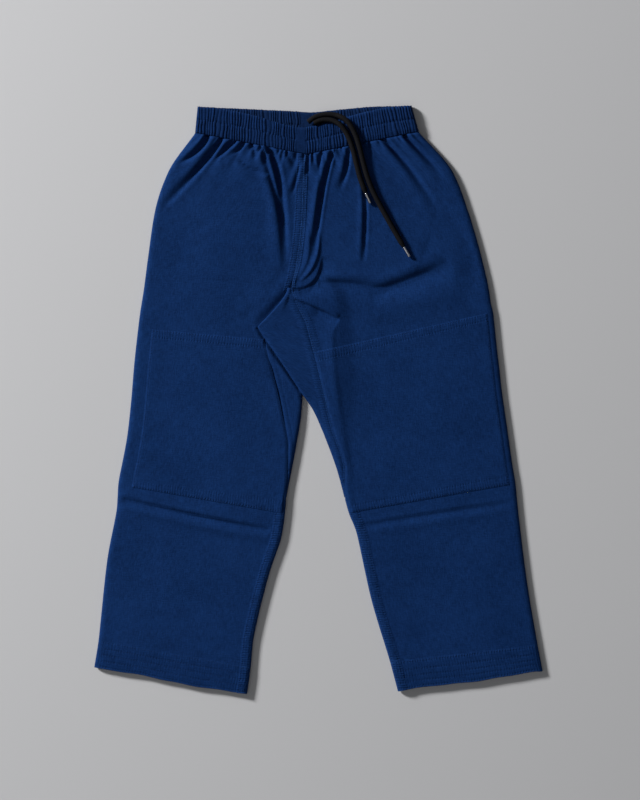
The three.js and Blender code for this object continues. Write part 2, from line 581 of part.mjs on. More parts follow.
// A free end of the drawcord.
function cord(route) {
  const curve = new THREE.CatmullRomCurve3(route.map(({ x, y, z }) => new THREE.Vector3(x, y, z)));
  const section = new THREE.Shape();
  for (let k = 0; k < CORD_SIDES; k += 1) {
    const angle = (2 * Math.PI * (k + 0.5)) / CORD_SIDES;
    const [x, y] = [Math.cos(angle) * CORD_DIAMETER / 2, Math.sin(angle) * CORD_DIAMETER / 2];
    if (k === 0) section.moveTo(x, y);
    else section.lineTo(x, y);
  }
  const steps = Math.round(curve.getLength() / CORD_STEP);
  return new THREE.ExtrudeGeometry(section, { extrudePath: curve, steps, bevelEnabled: false });
}

// The metal aglet on a free end, from its open end to its tip.
function aglet(route, tip) {
  const last = route[route.length - 1];
  const start = new THREE.Vector3(last.x, last.y, last.z);
  const along = tip.clone().sub(start).normalize();
  start.addScaledVector(along, SEAM);
  const length = start.distanceTo(tip);
  const radius = AGLET_DIAMETER / 2;
  const profile = [
    new THREE.Vector2(0, 0),
    new THREE.Vector2(radius - AGLET_BEVEL / 2, 0),
    new THREE.Vector2(radius, AGLET_BEVEL),
    new THREE.Vector2(radius, length - AGLET_BEVEL),
    new THREE.Vector2(radius - AGLET_BEVEL, length),
    new THREE.Vector2(0, length),
  ];
  const mesh = new THREE.Mesh(new THREE.LatheGeometry(profile, AGLET_SIDES), BRIGHT_METAL);
  mesh.position.copy(start);
  mesh.quaternion.setFromUnitVectors(new THREE.Vector3(0, 1, 0), along);
  return mesh;
}

const trousers = new THREE.Group();

function add(name, geometry, material) {
  const mesh = new THREE.Mesh(geometry, material.clone());
  mesh.name = name;
  trousers.add(mesh);
}

function addLeg(mark, leg, sign, patchFrom) {
  const front = frontGrid(leg);
  const back = backGrid(leg);
  const patchColumns = [patchFrom, COLUMNS - 1];
  const frontTurnUp = [2, COLUMNS - 1];
  const backTurnUp = [2, back[0].length - 2];
  const [near, far] = [-CLOTH - SEAM - TURN_UP_CLOTH, -CLOTH - SEAM];
  add(`front_panel_${mark}`, panel(front, sign), NAVY_DRILL);
  add(`back_panel_${mark}`, panel(back, -sign), NAVY_DRILL);
  add(`gusset_${mark}`, gusset(leg), NAVY_DRILL);
  const patch = layer(front, sign, leg, 'patchTop', 'patchEnd', patchColumns, SEAM, SEAM + PATCH_CLOTH);
  add(`knee_patch_${mark}`, patch, NAVY_DRILL);
  add(`hem_front_${mark}`, layer(front, sign, leg, 'hemTop', 'hemEdge', frontTurnUp, near, far), NAVY_DRILL);
  add(`hem_back_${mark}`, layer(back, -sign, leg, 'hemTop', 'hemEdge', backTurnUp, near, far), NAVY_DRILL);
}

addLeg('R', RIGHT_LEG, -1, SIDE_COLUMNS + 1);
addLeg('L', LEFT_LEG, 1, SIDE_COLUMNS);
add('waistband_front_R', frontBand(BAND_SIDES.right, RIGHT_LEG, -SEAM / 2), NAVY_DRILL);
add('waistband_front_L', frontBand(BAND_SIDES.left, LEFT_LEG, SEAM / 2), NAVY_DRILL);
add('waistband_back', backBand(), NAVY_DRILL);
add('drawcord_long', cord(LONG_END), BLACK_BRAID);
add('drawcord_short', cord(SHORT_END), BLACK_BRAID);

for (const [name, route, tip] of [['aglet_long', LONG_END, LONG_TIP], ['aglet_short', SHORT_END, SHORT_TIP]]) {
  const piece = aglet(route, tip);
  piece.name = name;
  trousers.add(piece);
}

export default trousers;
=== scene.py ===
"""Gi trousers laid flat with the front up: drill cloth, seams, gathered waistband and drawcord."""

import logging
import math
from dataclasses import dataclass
from enum import Enum

import bpy
import numpy as np
from mathutils import Matrix, Vector


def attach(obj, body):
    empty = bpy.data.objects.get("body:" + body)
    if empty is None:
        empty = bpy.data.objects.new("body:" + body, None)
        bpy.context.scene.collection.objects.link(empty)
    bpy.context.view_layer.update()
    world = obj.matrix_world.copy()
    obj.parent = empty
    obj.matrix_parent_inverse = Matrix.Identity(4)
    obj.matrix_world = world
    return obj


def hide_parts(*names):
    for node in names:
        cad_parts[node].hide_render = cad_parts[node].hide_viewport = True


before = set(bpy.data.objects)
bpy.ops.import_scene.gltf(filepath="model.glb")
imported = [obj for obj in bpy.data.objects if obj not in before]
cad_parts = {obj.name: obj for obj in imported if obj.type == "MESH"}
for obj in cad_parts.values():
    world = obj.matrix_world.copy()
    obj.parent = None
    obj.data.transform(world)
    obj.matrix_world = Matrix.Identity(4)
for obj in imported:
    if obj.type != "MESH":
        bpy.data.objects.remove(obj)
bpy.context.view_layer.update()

MM = 0.001
LOG = logging.getLogger("gi_trousers")

# Cloth, in millimetres
CLOTH = 1.2
PATCH_CLOTH = 0.4
TURNED_CLOTH = 0.9
SIDE_ROLL = 7.0
INSEAM_ROLL = 0.9
SEAM_MARGIN = 6.0
PATCH_INSET = 17.0
FLAP_HEIGHT = 5.3
FLAP_FOOT = 3.0
SEAM = 0.3

# Waistband, in millimetres
BAND_CLOTH = 3.4
RIB_HEIGHT = 1.25
BAND_GAP = 0.4
BAND_ROLL = 4.2
CENTRE_FRONT = -15.7
CENTRE_BACK = (-16.95, 314.0)

# Side edges of the waistband: x at its upper edge, x at its seam and y of its seam
RIGHT_SIDE = (-145.2, -148.3, 320.4)
LEFT_SIDE = (111.6, 120.5, 321.6)

# Rows of stitches, in millimetres from their edge, and the hem's rows as shares of its depth
PATCH_ROWS = (2.0, 9.5)
INSEAM_ROWS = (3.0, 10.5)
ROW_BREADTH = 0.9
HEM_DEPTH = 32.0
HEM_ROWS = (0.03, 0.27, 0.5, 0.72, 0.93)

# Grid steps of the cloth, in millimetres
CLOTH_STEP = 2.3
ROW_STEP = 2.6
CLOSE_STEP = 1.2
SEAM_STEP = 0.75
BACK_STEP = 3.2

SECTION = "sideX sideY edgeX edgeY frontX backX top edgeTop lift shelf soft"
RIGHT_PLACES = (
    "waist pleats hip seat crotch flap patchTop thigh fork knee gussetTip patchEnd crease calf cuff hemTop"
    " hemEdge"
)
RIGHT_SECTIONS = [
    (-148.3, 320.4, 3.1, 290.9, -16, -17.2, 7.6, 7.6, 0, 20, 20),
    (-180.7, 273.6, 3.1, 252, -17.8, -17.2, 6.9, 6.9, 0, 20, 20),
    (-196.3, 228, 3.1, 211.2, -19.6, -17.2, 6.2, 6.2, 0, 20, 20),
    (-204.7, 172.8, 3.1, 165.6, -25, -17.2, 5.9, 5.6, 0, 30, 20),
    (-210.1, 132, -17.6, 129.6, -33.4, -19.4, 5.8, 4.6, 0, 34, 18),
    (-214.3, 105.6, -17.5, 96, -51.1, -19.3, 5.8, 4.6, 0, 62, 18),
    (-216.7, 86.4, -17.8, 68.4, -64.9, -29.5, 5.8, 4.6, 0, 50, 18),
    (-221.5, 43.2, -18.4, 26.4, -54.1, -30.1, 5.8, 4.7, 0, 28, 16),
    (-225.1, 0, -20.5, -14.4, -44.5, -32.5, 5.8, 5.2, 0, 10, 16),
    (-229.9, -43.2, -27.7, -60, -37.3, -39.1, 5.8, 5.8, 0, 10, 16),
    (-239.5, -93.6, -38.5, -117.6, -39.1, -39.1, 5.8, 5.8, 0, 10, 16),
    (-240.7, -102, -40.4, -136.8, -40.4, -40.4, 5.8, 5.8, 0, 10, 16),
    (-242.2, -128, -44, -162, -44, -44, 5.8, 5.8, 0, 10, 16),
    (-253.9, -192, -60, -211.2, -60, -60, 5.8, 5.8, 0, 10, 16),
    (-261.7, -264, -78.9, -292, -78.9, -78.9, 5.8, 5.8, 0, 10, 16),
    (-264.4, -289.2, -81.6, -321.6, -81.6, -81.6, 5.8, 5.8, 0, 10, 16),
    (-269.5, -321, -85.9, -354, -85.9, -85.9, 5.6, 5.6, 0, 10, 16),
]
LEFT_PLACES = (
    "waist pleats hip seat crotch flapHigh flap flapLow patchTop thigh fork knee shin gussetTip patchEnd crease calf"
    " hemTop hemEdge"
)
LEFT_SECTIONS = [
    (120.5, 321.6, -37, 289.8, -15.5, -16.7, 7.6, 7.6, 0, 20, 20),
    (161.3, 273.6, -37, 252, -17.3, -16.7, 6.9, 6.9, 0, 20, 20),
    (179.3, 228, -37, 211.2, -19.1, -16.7, 6.2, 6.2, 0, 20, 20),
    (195.5, 172.8, -41.5, 165.6, -24.5, -16.7, 5.9, 6.4, 0, 30, 20),
    (203.9, 136.8, -37.3, 134.4, -31.9, -16.4, 5.8, 9.3, FLAP_HEIGHT, 50, 20),
    (206.9, 117.6, -71.4, 90.1, -16.5, -16, 5.8, 9.3, FLAP_HEIGHT, 88.7, 26),
    (207.2, 115.8, -73.3, 87.6, -15.7, -16, 5.8, 9.3, FLAP_HEIGHT, 90, 26),
    (207.5, 114.6, -72.3, 85.1, -15.0, -16, 5.8, 9.3, FLAP_HEIGHT, 89.4, 26),
    (209.6, 105.6, -46.9, 48, -6.1, -16, 5.8, 9.0, FLAP_HEIGHT, 66, 32),
    (214.1, 64.2, -22.3, 10.8, 3.7, -11.5, 5.8, 8.6, FLAP_HEIGHT, 42, 32),
    (217.3, 37.2, -6.1, -13.2, 10.1, 5.3, 5.8, 7.6, 1.9, 27, 28),
    (220.1, 12, 4.1, -36, 16.1, 15.5, 5.8, 6.8, 0, 20, 22),
    (227.3, -38.4, 22.1, -84, 31.1, 32.9, 5.8, 6.2, 0, 12, 8),
    (232.7, -76.8, 31.2, -117.6, 31.8, 31.8, 5.8, 5.8, 0, 10, 8),
    (236.6, -100.8, 36.5, -136.2, 36.5, 36.5, 5.8, 5.8, 0, 10, 16),
    (239.4, -129, 44.5, -156, 44.5, 44.5, 5.8, 5.8, 0, 10, 16),
    (250.1, -216, 63.5, -240, 63.5, 63.5, 5.8, 5.8, 0, 10, 16),
    (263.3, -294.6, 86, -315, 86, 86, 5.8, 5.8, 0, 10, 16),
    (269.3, -325.8, 95.3, -349.8, 95.3, 95.3, 5.6, 5.6, 0, 10, 16),
]

# Creases: an arc through three points, its rise, half its breadth at both ends, how it ends and which cloth has it.
# The left side of an arc's direction is its steep side. Ends: 0 both fade, 1 gathered at its start, 2 a soft step.
CREASE = "x0 y0 x1 y1 x2 y2 rise begin finish ends cloth"
CREASES = [
    (-131.5, 316.8, -144.7, 297.6, -174.7, 280.8, -4.0, 2.4, 3.4, 1, "RL"),
    (-115.9, 314.4, -136.3, 284.4, -190.3, 226.8, -4.4, 2.6, 4.4, 1, "RL"),
    (-99.1, 309.6, -111.1, 300, -125.5, 286.8, -3.8, 2.2, 3.0, 1, "RL"),
    (-87.1, 310.8, -94.3, 301.2, -108.7, 292.8, -2.4, 1.8, 2.6, 1, "RL"),
    (-117.1, 291.6, -113.5, 288, -109.9, 283.2, -1.2, 1.8, 1.8, 0, "RL"),
    (-96.3, 289, -79.9, 277.4, -60.9, 271.4, -3.6, 2.1, 2.4, 0, "RL"),
    (-78.7, 306, -76.3, 297.6, -75.1, 289.2, -2.4, 1.9, 2.4, 1, "RL"),
    (-66.7, 301.2, -55.9, 264, -40.3, 210, -3.8, 2.2, 3.8, 1, "RL"),
    (-57.9, 300.4, -44.9, 256, -38.5, 153.6, -4.8, 3.2, 5.2, 1, "RL"),
    (-37.9, 297.6, -33.1, 290.4, -27.1, 283.2, -2.4, 1.9, 2.2, 1, "RL"),
    (-52.1, 276.8, -49.5, 222, -46.3, 158.4, 1.3, 5.0, 6.0, 0, "RL"),
    (-22.8, 282.2, -25.9, 266, -31.3, 246.6, -1.6, 1.6, 2.4, 0, "RL"),
    (-11.2, 300, -12, 286, -13.8, 268, -2.2, 1.8, 2.2, 1, "RL"),
    (3.8, 296, 1.7, 284, 0.5, 268, -2.2, 2.0, 2.6, 1, "RL"),
    (-1.0, 285.6, -4.4, 232, -11.5, 186, 1.4, 5.0, 5.0, 0, "RL"),
    (16.5, 293.4, 4.3, 240, -4.9, 165.6, -4.2, 2.2, 3.4, 1, "RL"),
    (36.5, 297.6, 34.1, 276, 25.7, 252, -3.7, 2.1, 3.2, 1, "RL"),
    (61.7, 307.2, 62.9, 298.8, 63.5, 289.2, -2.0, 1.8, 2.4, 1, "RL"),
    (53.3, 262, 57.1, 226, 54.5, 165.6, -3.0, 1.8, 2.4, 0, "RL"),
    (74.9, 313.2, 102.5, 288, 146.9, 224.4, -3.8, 2.3, 4.0, 1, "RL"),
    (92.9, 318, 97.7, 313.2, 101.3, 308.4, -1.6, 1.8, 2.2, 1, "RL"),
    (102.5, 318, 124.1, 297.6, 150.5, 268.8, -3.8, 2.3, 3.6, 1, "RL"),
    (115.7, 320.4, 126.5, 309.6, 138.5, 300, -2.0, 1.9, 2.6, 1, "RL"),
    (0, 140.5, 40, 138.5, 84, 129.5, -3.3, 6.0, 10.0, 0, "RL"),
    (62, 128.5, 110, 144, 158, 164, -3.7, 8.0, 12.0, 0, "RL"),
    (-16.3, 212, -12.9, 172, -31.9, 140, 1.1, 4.5, 3.5, 0, "RL"),
    (-0.5, 206, -3.5, 168, -22, 143, 2.0, 3.4, 3.0, 0, "RL"),
    (133.7, 246, 179.3, 186, 181.7, 129.6, -1.0, 9.0, 10.0, 0, "RL"),
    (79.7, 213.6, 103.7, 192, 127.7, 180, 1.3, 26.0, 26.0, 0, "RL"),
    (-130.3, 210, -124.3, 180, -124.3, 144, 1.3, 28.0, 28.0, 0, "RL"),
    (-35.5, 132.4, -6.5, 139.5, 5.5, 171, -2.8, 2.6, 3.0, 2, "RL"),
    (-38, 121.5, -7, 110.5, 24, 95.5, -4.2, 3.0, 3.6, 2, "RL"),
    (-34, 126.5, -3.5, 115.5, 25, 100.5, 2.0, 4.6, 4.6, 0, "RL"),
    (17.5, 97, 18.5, 30, 35, -72, 1.1, 6.5, 6.5, 0, "RL"),
    (15, 104, 16, 34, 32, -80, 0.7, 19.0, 16.0, 0, "RL"),
    (-247.9, -115.2, -154.3, -137.8, -57.9, -156.2, -3.7, 3.4, 3.8, 0, "RL"),
    (-243.9, -104.2, -154.3, -126.8, -62.9, -143.2, 0.8, 11.5, 11.5, 0, "RL"),
    (44.9, -152, 133.7, -137.6, 241.3, -121.6, -1.6, 3.4, 3.4, 0, "RL"),
    (-20, 147, -48, 113.5, -74, 87.5, -2.3, 4.8, 5.2, 0, "R"),
    (-10, -5, -45.6, 47.4, -73.5, 88, -4.4, 3.2, 4.6, 0, "R"),
    (-236, -60, -180, -40, -110, -52, -0.5, 12.0, 14.0, 0, "RL"),
    (90, -30, 150, -48, 216, -30, -0.5, 12.0, 14.0, 0, "RL"),
    (-200, -236, -160, -246, -110, -240, -0.5, 16.0, 16.0, 0, "RL"),
    (100, -230, 160, -220, 230, -236, -0.5, 16.0, 16.0, 0, "RL"),
]

# Small gathers under the waistband: share across the panel, length, depth and half breadth, in millimetres
RIGHT_GATHERS = [
    (0.055, 9, 1.1, 1.4), (0.10, 16, 1.5, 1.6), (0.175, 10, 1.2, 1.3), (0.225, 22, 1.4, 1.7), (0.29, 13, 1.6, 1.5),
    (0.335, 8, 1.1, 1.2), (0.395, 26, 1.3, 1.8), (0.45, 12, 1.5, 1.4), (0.505, 18, 1.7, 1.5), (0.545, 9, 1.2, 1.2),
    (0.60, 24, 1.5, 1.7), (0.655, 11, 1.4, 1.3), (0.70, 20, 1.6, 1.6), (0.755, 10, 1.3, 1.3), (0.80, 30, 1.3, 1.8),
    (0.85, 12, 1.5, 1.4), (0.89, 8, 1.0, 1.2),
]
LEFT_GATHERS = [
    (0.05, 10, 1.2, 1.4), (0.095, 20, 1.3, 1.7), (0.15, 9, 1.5, 1.3), (0.20, 14, 1.2, 1.5), (0.26, 28, 1.4, 1.8),
    (0.31, 9, 1.5, 1.3), (0.365, 17, 1.3, 1.6), (0.42, 11, 1.6, 1.4), (0.465, 24, 1.4, 1.8), (0.52, 10, 1.2, 1.3),
    (0.575, 19, 1.7, 1.6), (0.625, 9, 1.4, 1.2), (0.685, 27, 1.5, 1.7), (0.735, 13, 1.6, 1.4), (0.79, 22, 1.8, 1.6),
    (0.84, 10, 1.4, 1.3), (0.885, 30, 1.6, 1.7), (0.93, 12, 1.3, 1.4),
]

FRONT_EDGE = [
    (-147.1, 352.2), (-124.3, 351), (-94.3, 345.6), (-70.3, 339.6), (-46.3, 331.8), (-28.3, 327.6),
    (-15.7, 327), (7.7, 331.8), (37.7, 340.8), (55.7, 345.6), (79.7, 351), (97.7, 352.8), (116.9, 353.4),
]
BACK_EDGE = [
    (-147.1, 352.6), (-88.3, 350), (-22.3, 346.8), (-5.5, 345.8), (13.7, 348), (37.7, 350.4),
    (64.1, 352.8), (116.9, 353.8),
]

# Routes of the two free ends of the drawcord, in metres, as in the solid model.
LONG_END = [
    (-0.0127, 0.3332, 0.0076), (-0.0041, 0.3392, 0.0079), (0.0074, 0.3422, 0.0082), (0.0194, 0.3416, 0.0092),
    (0.0298, 0.3372, 0.0116), (0.0382, 0.3284, 0.0125), (0.0444, 0.3162, 0.0123), (0.0492, 0.3012, 0.0122),
    (0.0532, 0.2852, 0.0112), (0.058, 0.2682, 0.0104), (0.0646, 0.251, 0.0098), (0.0732, 0.234, 0.0096),
    (0.0825, 0.2172, 0.0098), (0.092, 0.2004, 0.0101), (0.1019, 0.1836, 0.0103),
]
SHORT_END = [
    (-0.0056, 0.3318, 0.0086), (0.0026, 0.3352, 0.0089), (0.0108, 0.3358, 0.0096), (0.0182, 0.3342, 0.0108),
    (0.0254, 0.3296, 0.0122), (0.0319, 0.3214, 0.0123), (0.0371, 0.311, 0.0123), (0.0415, 0.2982, 0.0122),
    (0.0454, 0.2826, 0.0112), (0.0496, 0.2664, 0.0104), (0.0562, 0.2482, 0.0098),
]
LONG_TIP = (0.1088, 0.1719, 0.0094)
SHORT_TIP = (0.0618, 0.2359, 0.0088)
CORD_DIAMETER = 0.0056
BRAID_TURN = 0.0032
AGLET_DIAMETER = 0.0038


def mix(a: float | np.ndarray, b: float | np.ndarray, t: float | np.ndarray) -> float | np.ndarray:
    """Value a share t of the way from a to b."""
    return a + (b - a) * t


def smooth(t: float | np.ndarray) -> float | np.ndarray:
    """Soft step from 0 to 1."""
    t = np.clip(t, 0.0, 1.0)
    return t * t * (3 - 2 * t)


def quarter(t: float | np.ndarray) -> float | np.ndarray:
    """Quarter of a round edge: 1 at 0, falling to 0 at 1."""
    return np.sqrt(np.maximum(0.0, 1 - t * t))


def bell(distance: float | np.ndarray, breadth: float | np.ndarray) -> float | np.ndarray:
    """Soft hump over a distance."""
    return np.exp(-((distance / breadth) ** 2))


def monotone(values: np.ndarray, t: np.ndarray) -> np.ndarray:
    """Curve through values at whole steps that never runs past them.

    Args:
        values: The values at steps 0, 1, 2 and so on.
        t: Places between the steps.

    Returns:
        The values at those places.
    """
    steps = np.diff(values)
    slope = np.zeros(len(values))
    slope[0], slope[-1] = steps[0], steps[-1]
    product, total = steps[:-1] * steps[1:], steps[:-1] + steps[1:]
    agree = product > 0
    slope[1:-1][agree] = 2 * product[agree] / total[agree]
    i = np.clip(np.floor(t).astype(int), 0, len(values) - 2)
    f = t - i
    rise, m0, m1 = steps[i], slope[i], slope[i + 1]
    return values[i] + f * m0 + f * f * (3 * rise - 2 * m0 - m1) + f ** 3 * (m0 + m1 - 2 * rise)


def pick(piece: bpy.types.Object) -> None:
    """Selects one object alone and makes it active."""
    bpy.ops.object.select_all(action="DESELECT")
    piece.select_set(True)
    bpy.context.view_layer.objects.active = piece


class Finish(Enum):
    """The record's material slots."""

    DRILL = "navy_drill"
    BAND = "navy_band"
    BRAID = "black_braid"
    METAL = "bright_metal"


class Wire:
    """A socket of a shader, on which sums are written as expressions."""

    def __init__(self, shader: "Shader", socket: bpy.types.NodeSocket) -> None:
        """Keeps the shader and its socket."""
        self.shader = shader
        self.socket = socket

    def _sum(self, operation: str, first: "Wire | float", second: "Wire | float") -> "Wire":
        """Adds one Math node."""
        node = self.shader.node("ShaderNodeMath", {"operation": operation}, {0: first, 1: second})
        return Wire(self.shader, node.outputs[0])

    def __add__(self, other: "Wire | float") -> "Wire":
        """Sum."""
        return self._sum("ADD", self, other)

    def __radd__(self, other: "Wire | float") -> "Wire":
        """Sum, number first."""
        return self._sum("ADD", other, self)

    def __sub__(self, other: "Wire | float") -> "Wire":
        """Difference."""
        return self._sum("SUBTRACT", self, other)

    def __rsub__(self, other: "Wire | float") -> "Wire":
        """Difference, number first."""
        return self._sum("SUBTRACT", other, self)

    def __mul__(self, other: "Wire | float") -> "Wire":
        """Product."""
        return self._sum("MULTIPLY", self, other)

    def __rmul__(self, other: "Wire | float") -> "Wire":
        """Product, number first."""
        return self._sum("MULTIPLY", other, self)

    def sine(self) -> "Wire":
        """Sine of this value."""
        node = self.shader.node("ShaderNodeMath", {"operation": "SINE"}, {0: self})
        return Wire(self.shader, node.outputs[0])

    def absolute(self) -> "Wire":
        """This value without its sign."""
        node = self.shader.node("ShaderNodeMath", {"operation": "ABSOLUTE"}, {0: self})
        return Wire(self.shader, node.outputs[0])


class Shader:
    """A material's nodes."""

    def __init__(self, name: str) -> None:
        """Makes an empty material with one surface shader."""
        self.material = bpy.data.materials.new(name)
        self.material.use_nodes = True
        self.tree = self.material.node_tree
        self.surface = self.tree.nodes["Principled BSDF"]

    def node(self, kind: str, settings: dict | None = None, inputs: dict | None = None) -> bpy.types.Node:
        """Adds a node.

        Args:
            kind: The node's type.
            settings: Its own settings.
            inputs: Values or links of its sockets.

        Returns:
            The node.
        """
        made = self.tree.nodes.new(kind)
        for name, value in (settings or {}).items():
            setattr(made, name, value)
        for key, value in (inputs or {}).items():
            self.put(made.inputs[key], value)
        return made

    def put(self, socket: bpy.types.NodeSocket, value: Wire | float | tuple | str) -> None:
        """Sets a socket to a value, or links it."""
        if isinstance(value, Wire):
            self.tree.links.new(value.socket, socket)
        else:
            socket.default_value = value

    def wire(self, node: bpy.types.Node, output: int = 0) -> Wire:
        """Output of a node, to write sums on."""
        return Wire(self, node.outputs[output])

    def split(self, vector: Wire) -> tuple[Wire, Wire, Wire]:
        """The three parts of a vector."""
        node = self.node("ShaderNodeSeparateXYZ", None, {0: vector})
        return self.wire(node, 0), self.wire(node, 1), self.wire(node, 2)

    def noise(self, vector: Wire, scale: float, detail: float = 3.0) -> Wire:
        """Soft random pattern."""
        node = self.node("ShaderNodeTexNoise", None, {"Vector": vector, "Scale": scale, "Detail": detail})
        return self.wire(node, 0)

    def ramp(self, value: Wire, low: float, high: float, start: float, end: float) -> Wire:
        """Value scaled from one range to another, and kept in it."""
        inputs = {0: value, 1: low, 2: high, 3: start, 4: end}
        return self.wire(self.node("ShaderNodeMapRange", None, inputs))

    def blend(self, share: Wire, first: Wire | tuple, second: Wire | tuple) -> Wire:
        """Mixes two colours."""
        node = self.node("ShaderNodeMix", {"data_type": "RGBA"}, {0: share, 6: first, 7: second})
        return Wire(self, node.outputs[2])

    def bump(self, height: Wire, strength: float, distance: float) -> None:
        """Raises the surface by a pattern."""
        inputs = {"Height": height, "Strength": strength, "Distance": distance}
        self.put(self.surface.inputs["Normal"], self.wire(self.node("ShaderNodeBump", None, inputs)))


@dataclass(frozen=True)
class DrillFinish:
    """Navy cotton drill: a steep twill, slubs, soft mottling and paler worn edges."""

    name: str
    deep: tuple[float, float, float, float]
    full: tuple[float, float, float, float]
    worn: tuple[float, float, float, float]
    twill: float = 0.0011

    def material(self) -> bpy.types.Material:
        """Makes the material. It reads the cloth's own map in metres and its marks."""
        shader = Shader(self.name)
        place = shader.wire(shader.node("ShaderNodeUVMap", {"uv_map": "cloth"}))
        wear, pucker_along, pucker_across = (
            shader.wire(shader.node("ShaderNodeAttribute", {"attribute_name": mark}), 2)
            for mark in ("wear", "pucker_along", "pucker_across")
        )
        across, along, _ = shader.split(place)
        lines = ((across * 0.82 + along * 0.57) * (2 * math.pi / self.twill)).sine()
        mottle = shader.noise(place, 14.0, 3.0)
        patches = shader.noise(place, 80.0, 3.0)
        grain = shader.noise(place, 620.0, 2.0)
        slub = shader.node("ShaderNodeMapping", None, {"Vector": place, "Scale": (150.0, 820.0, 1.0)})
        slubs = shader.noise(shader.wire(slub), 1.0, 2.0)
        warp = shader.node("ShaderNodeMapping", None, {"Vector": place, "Scale": (800.0, 120.0, 1.0)})
        warps = shader.noise(shader.wire(warp), 1.0, 2.0)
        tone = mottle * 0.65 + patches * 0.60 + slubs * 0.9 + warps * 1.2 + grain * 0.8 + lines * 0.05
        share = shader.ramp(tone, 1.65, 2.5, 0.0, 1.0)
        cloth = shader.blend(share, self.deep, self.full)
        edge = shader.ramp(wear * (slubs + warps), 0.2, 1.1, 0.0, 0.7)
        shader.put(shader.surface.inputs["Base Color"], shader.blend(edge, cloth, self.worn))
        shader.put(shader.surface.inputs["Roughness"], shader.ramp(patches, 0.3, 0.7, 0.86, 0.96))
        shader.surface.inputs["Specular IOR Level"].default_value = 0.06
        uneven = shader.noise(place, 260.0, 1.0)
        drift = patches * 11.0 + uneven * 3.0
        ripples = (along * (2 * math.pi / 0.0028) + drift).sine() * pucker_along * uneven
        creeps = (across * (2 * math.pi / 0.0033) + drift).sine() * pucker_across * uneven
        shader.bump(ripples * 2.2 + creeps * 2.2 + slubs * 0.35 + warps * 0.35 + grain * 0.3, 0.8, 0.00024)
        return shader.material


@dataclass(frozen=True)
class ThreadFinish:
    """Sewing thread, a little paler than the cloth."""

    color: tuple[float, float, float, float]

    def material(self) -> bpy.types.Material:
        """Makes the material."""
        shader = Shader("navy_thread")
        place = shader.wire(shader.node("ShaderNodeTexCoord"), 3)
        tone = shader.noise(place, 900.0)
        dark = (self.color[0] * 0.6, self.color[1] * 0.6, self.color[2] * 0.6, 1.0)
        shader.put(shader.surface.inputs["Base Color"], shader.blend(tone, dark, self.color))
        shader.surface.inputs["Roughness"].default_value = 0.8
        shader.surface.inputs["Specular IOR Level"].default_value = 0.1
        return shader.material


@dataclass(frozen=True)
class BraidFinish:
    """Matt black braid."""

    dark: tuple[float, float, float, float]
    light: tuple[float, float, float, float]

    def material(self) -> bpy.types.Material:
        """Makes the material. Its strands follow the cord's own map."""
        shader = Shader("black_braid")
        place = shader.wire(shader.node("ShaderNodeUVMap", {"uv_map": "cloth"}))
        around, along, _ = shader.split(place)
        one = (around * (16 * math.pi) + along * (2 * math.pi / BRAID_TURN)).sine()
        other = (around * (16 * math.pi) - along * (2 * math.pi / BRAID_TURN)).sine()
        strands = (one * other).absolute()
        fuzz = shader.noise(shader.wire(shader.node("ShaderNodeTexCoord"), 3), 1500.0)
        share = shader.ramp(strands * 0.6 + fuzz * 0.7, 0.2, 1.2, 0.0, 1.0)
        shader.put(shader.surface.inputs["Base Color"], shader.blend(share, self.dark, self.light))
        shader.surface.inputs["Roughness"].default_value = 0.75
        shader.surface.inputs["Specular IOR Level"].default_value = 0.12
        shader.bump(strands + fuzz * 0.4, 0.5, 0.0003)
        return shader.material


@dataclass(frozen=True)
class MetalFinish:
    """Bright rolled metal with fine scratches."""

    color: tuple[float, float, float, float]

    def material(self) -> bpy.types.Material:
        """Makes the material."""
        shader = Shader("bright_metal")
        place = shader.wire(shader.node("ShaderNodeTexCoord"), 3)
        marks = shader.noise(place, 700.0, 4.0)
        dark = (self.color[0] * 0.7, self.color[1] * 0.7, self.color[2] * 0.72, 1.0)
        shader.put(shader.surface.inputs["Base Color"], shader.blend(marks, dark, self.color))
        shader.put(shader.surface.inputs["Roughness"], shader.ramp(marks, 0.3, 0.7, 0.18, 0.34))
        shader.surface.inputs["Metallic"].default_value = 1.0
        return shader.material


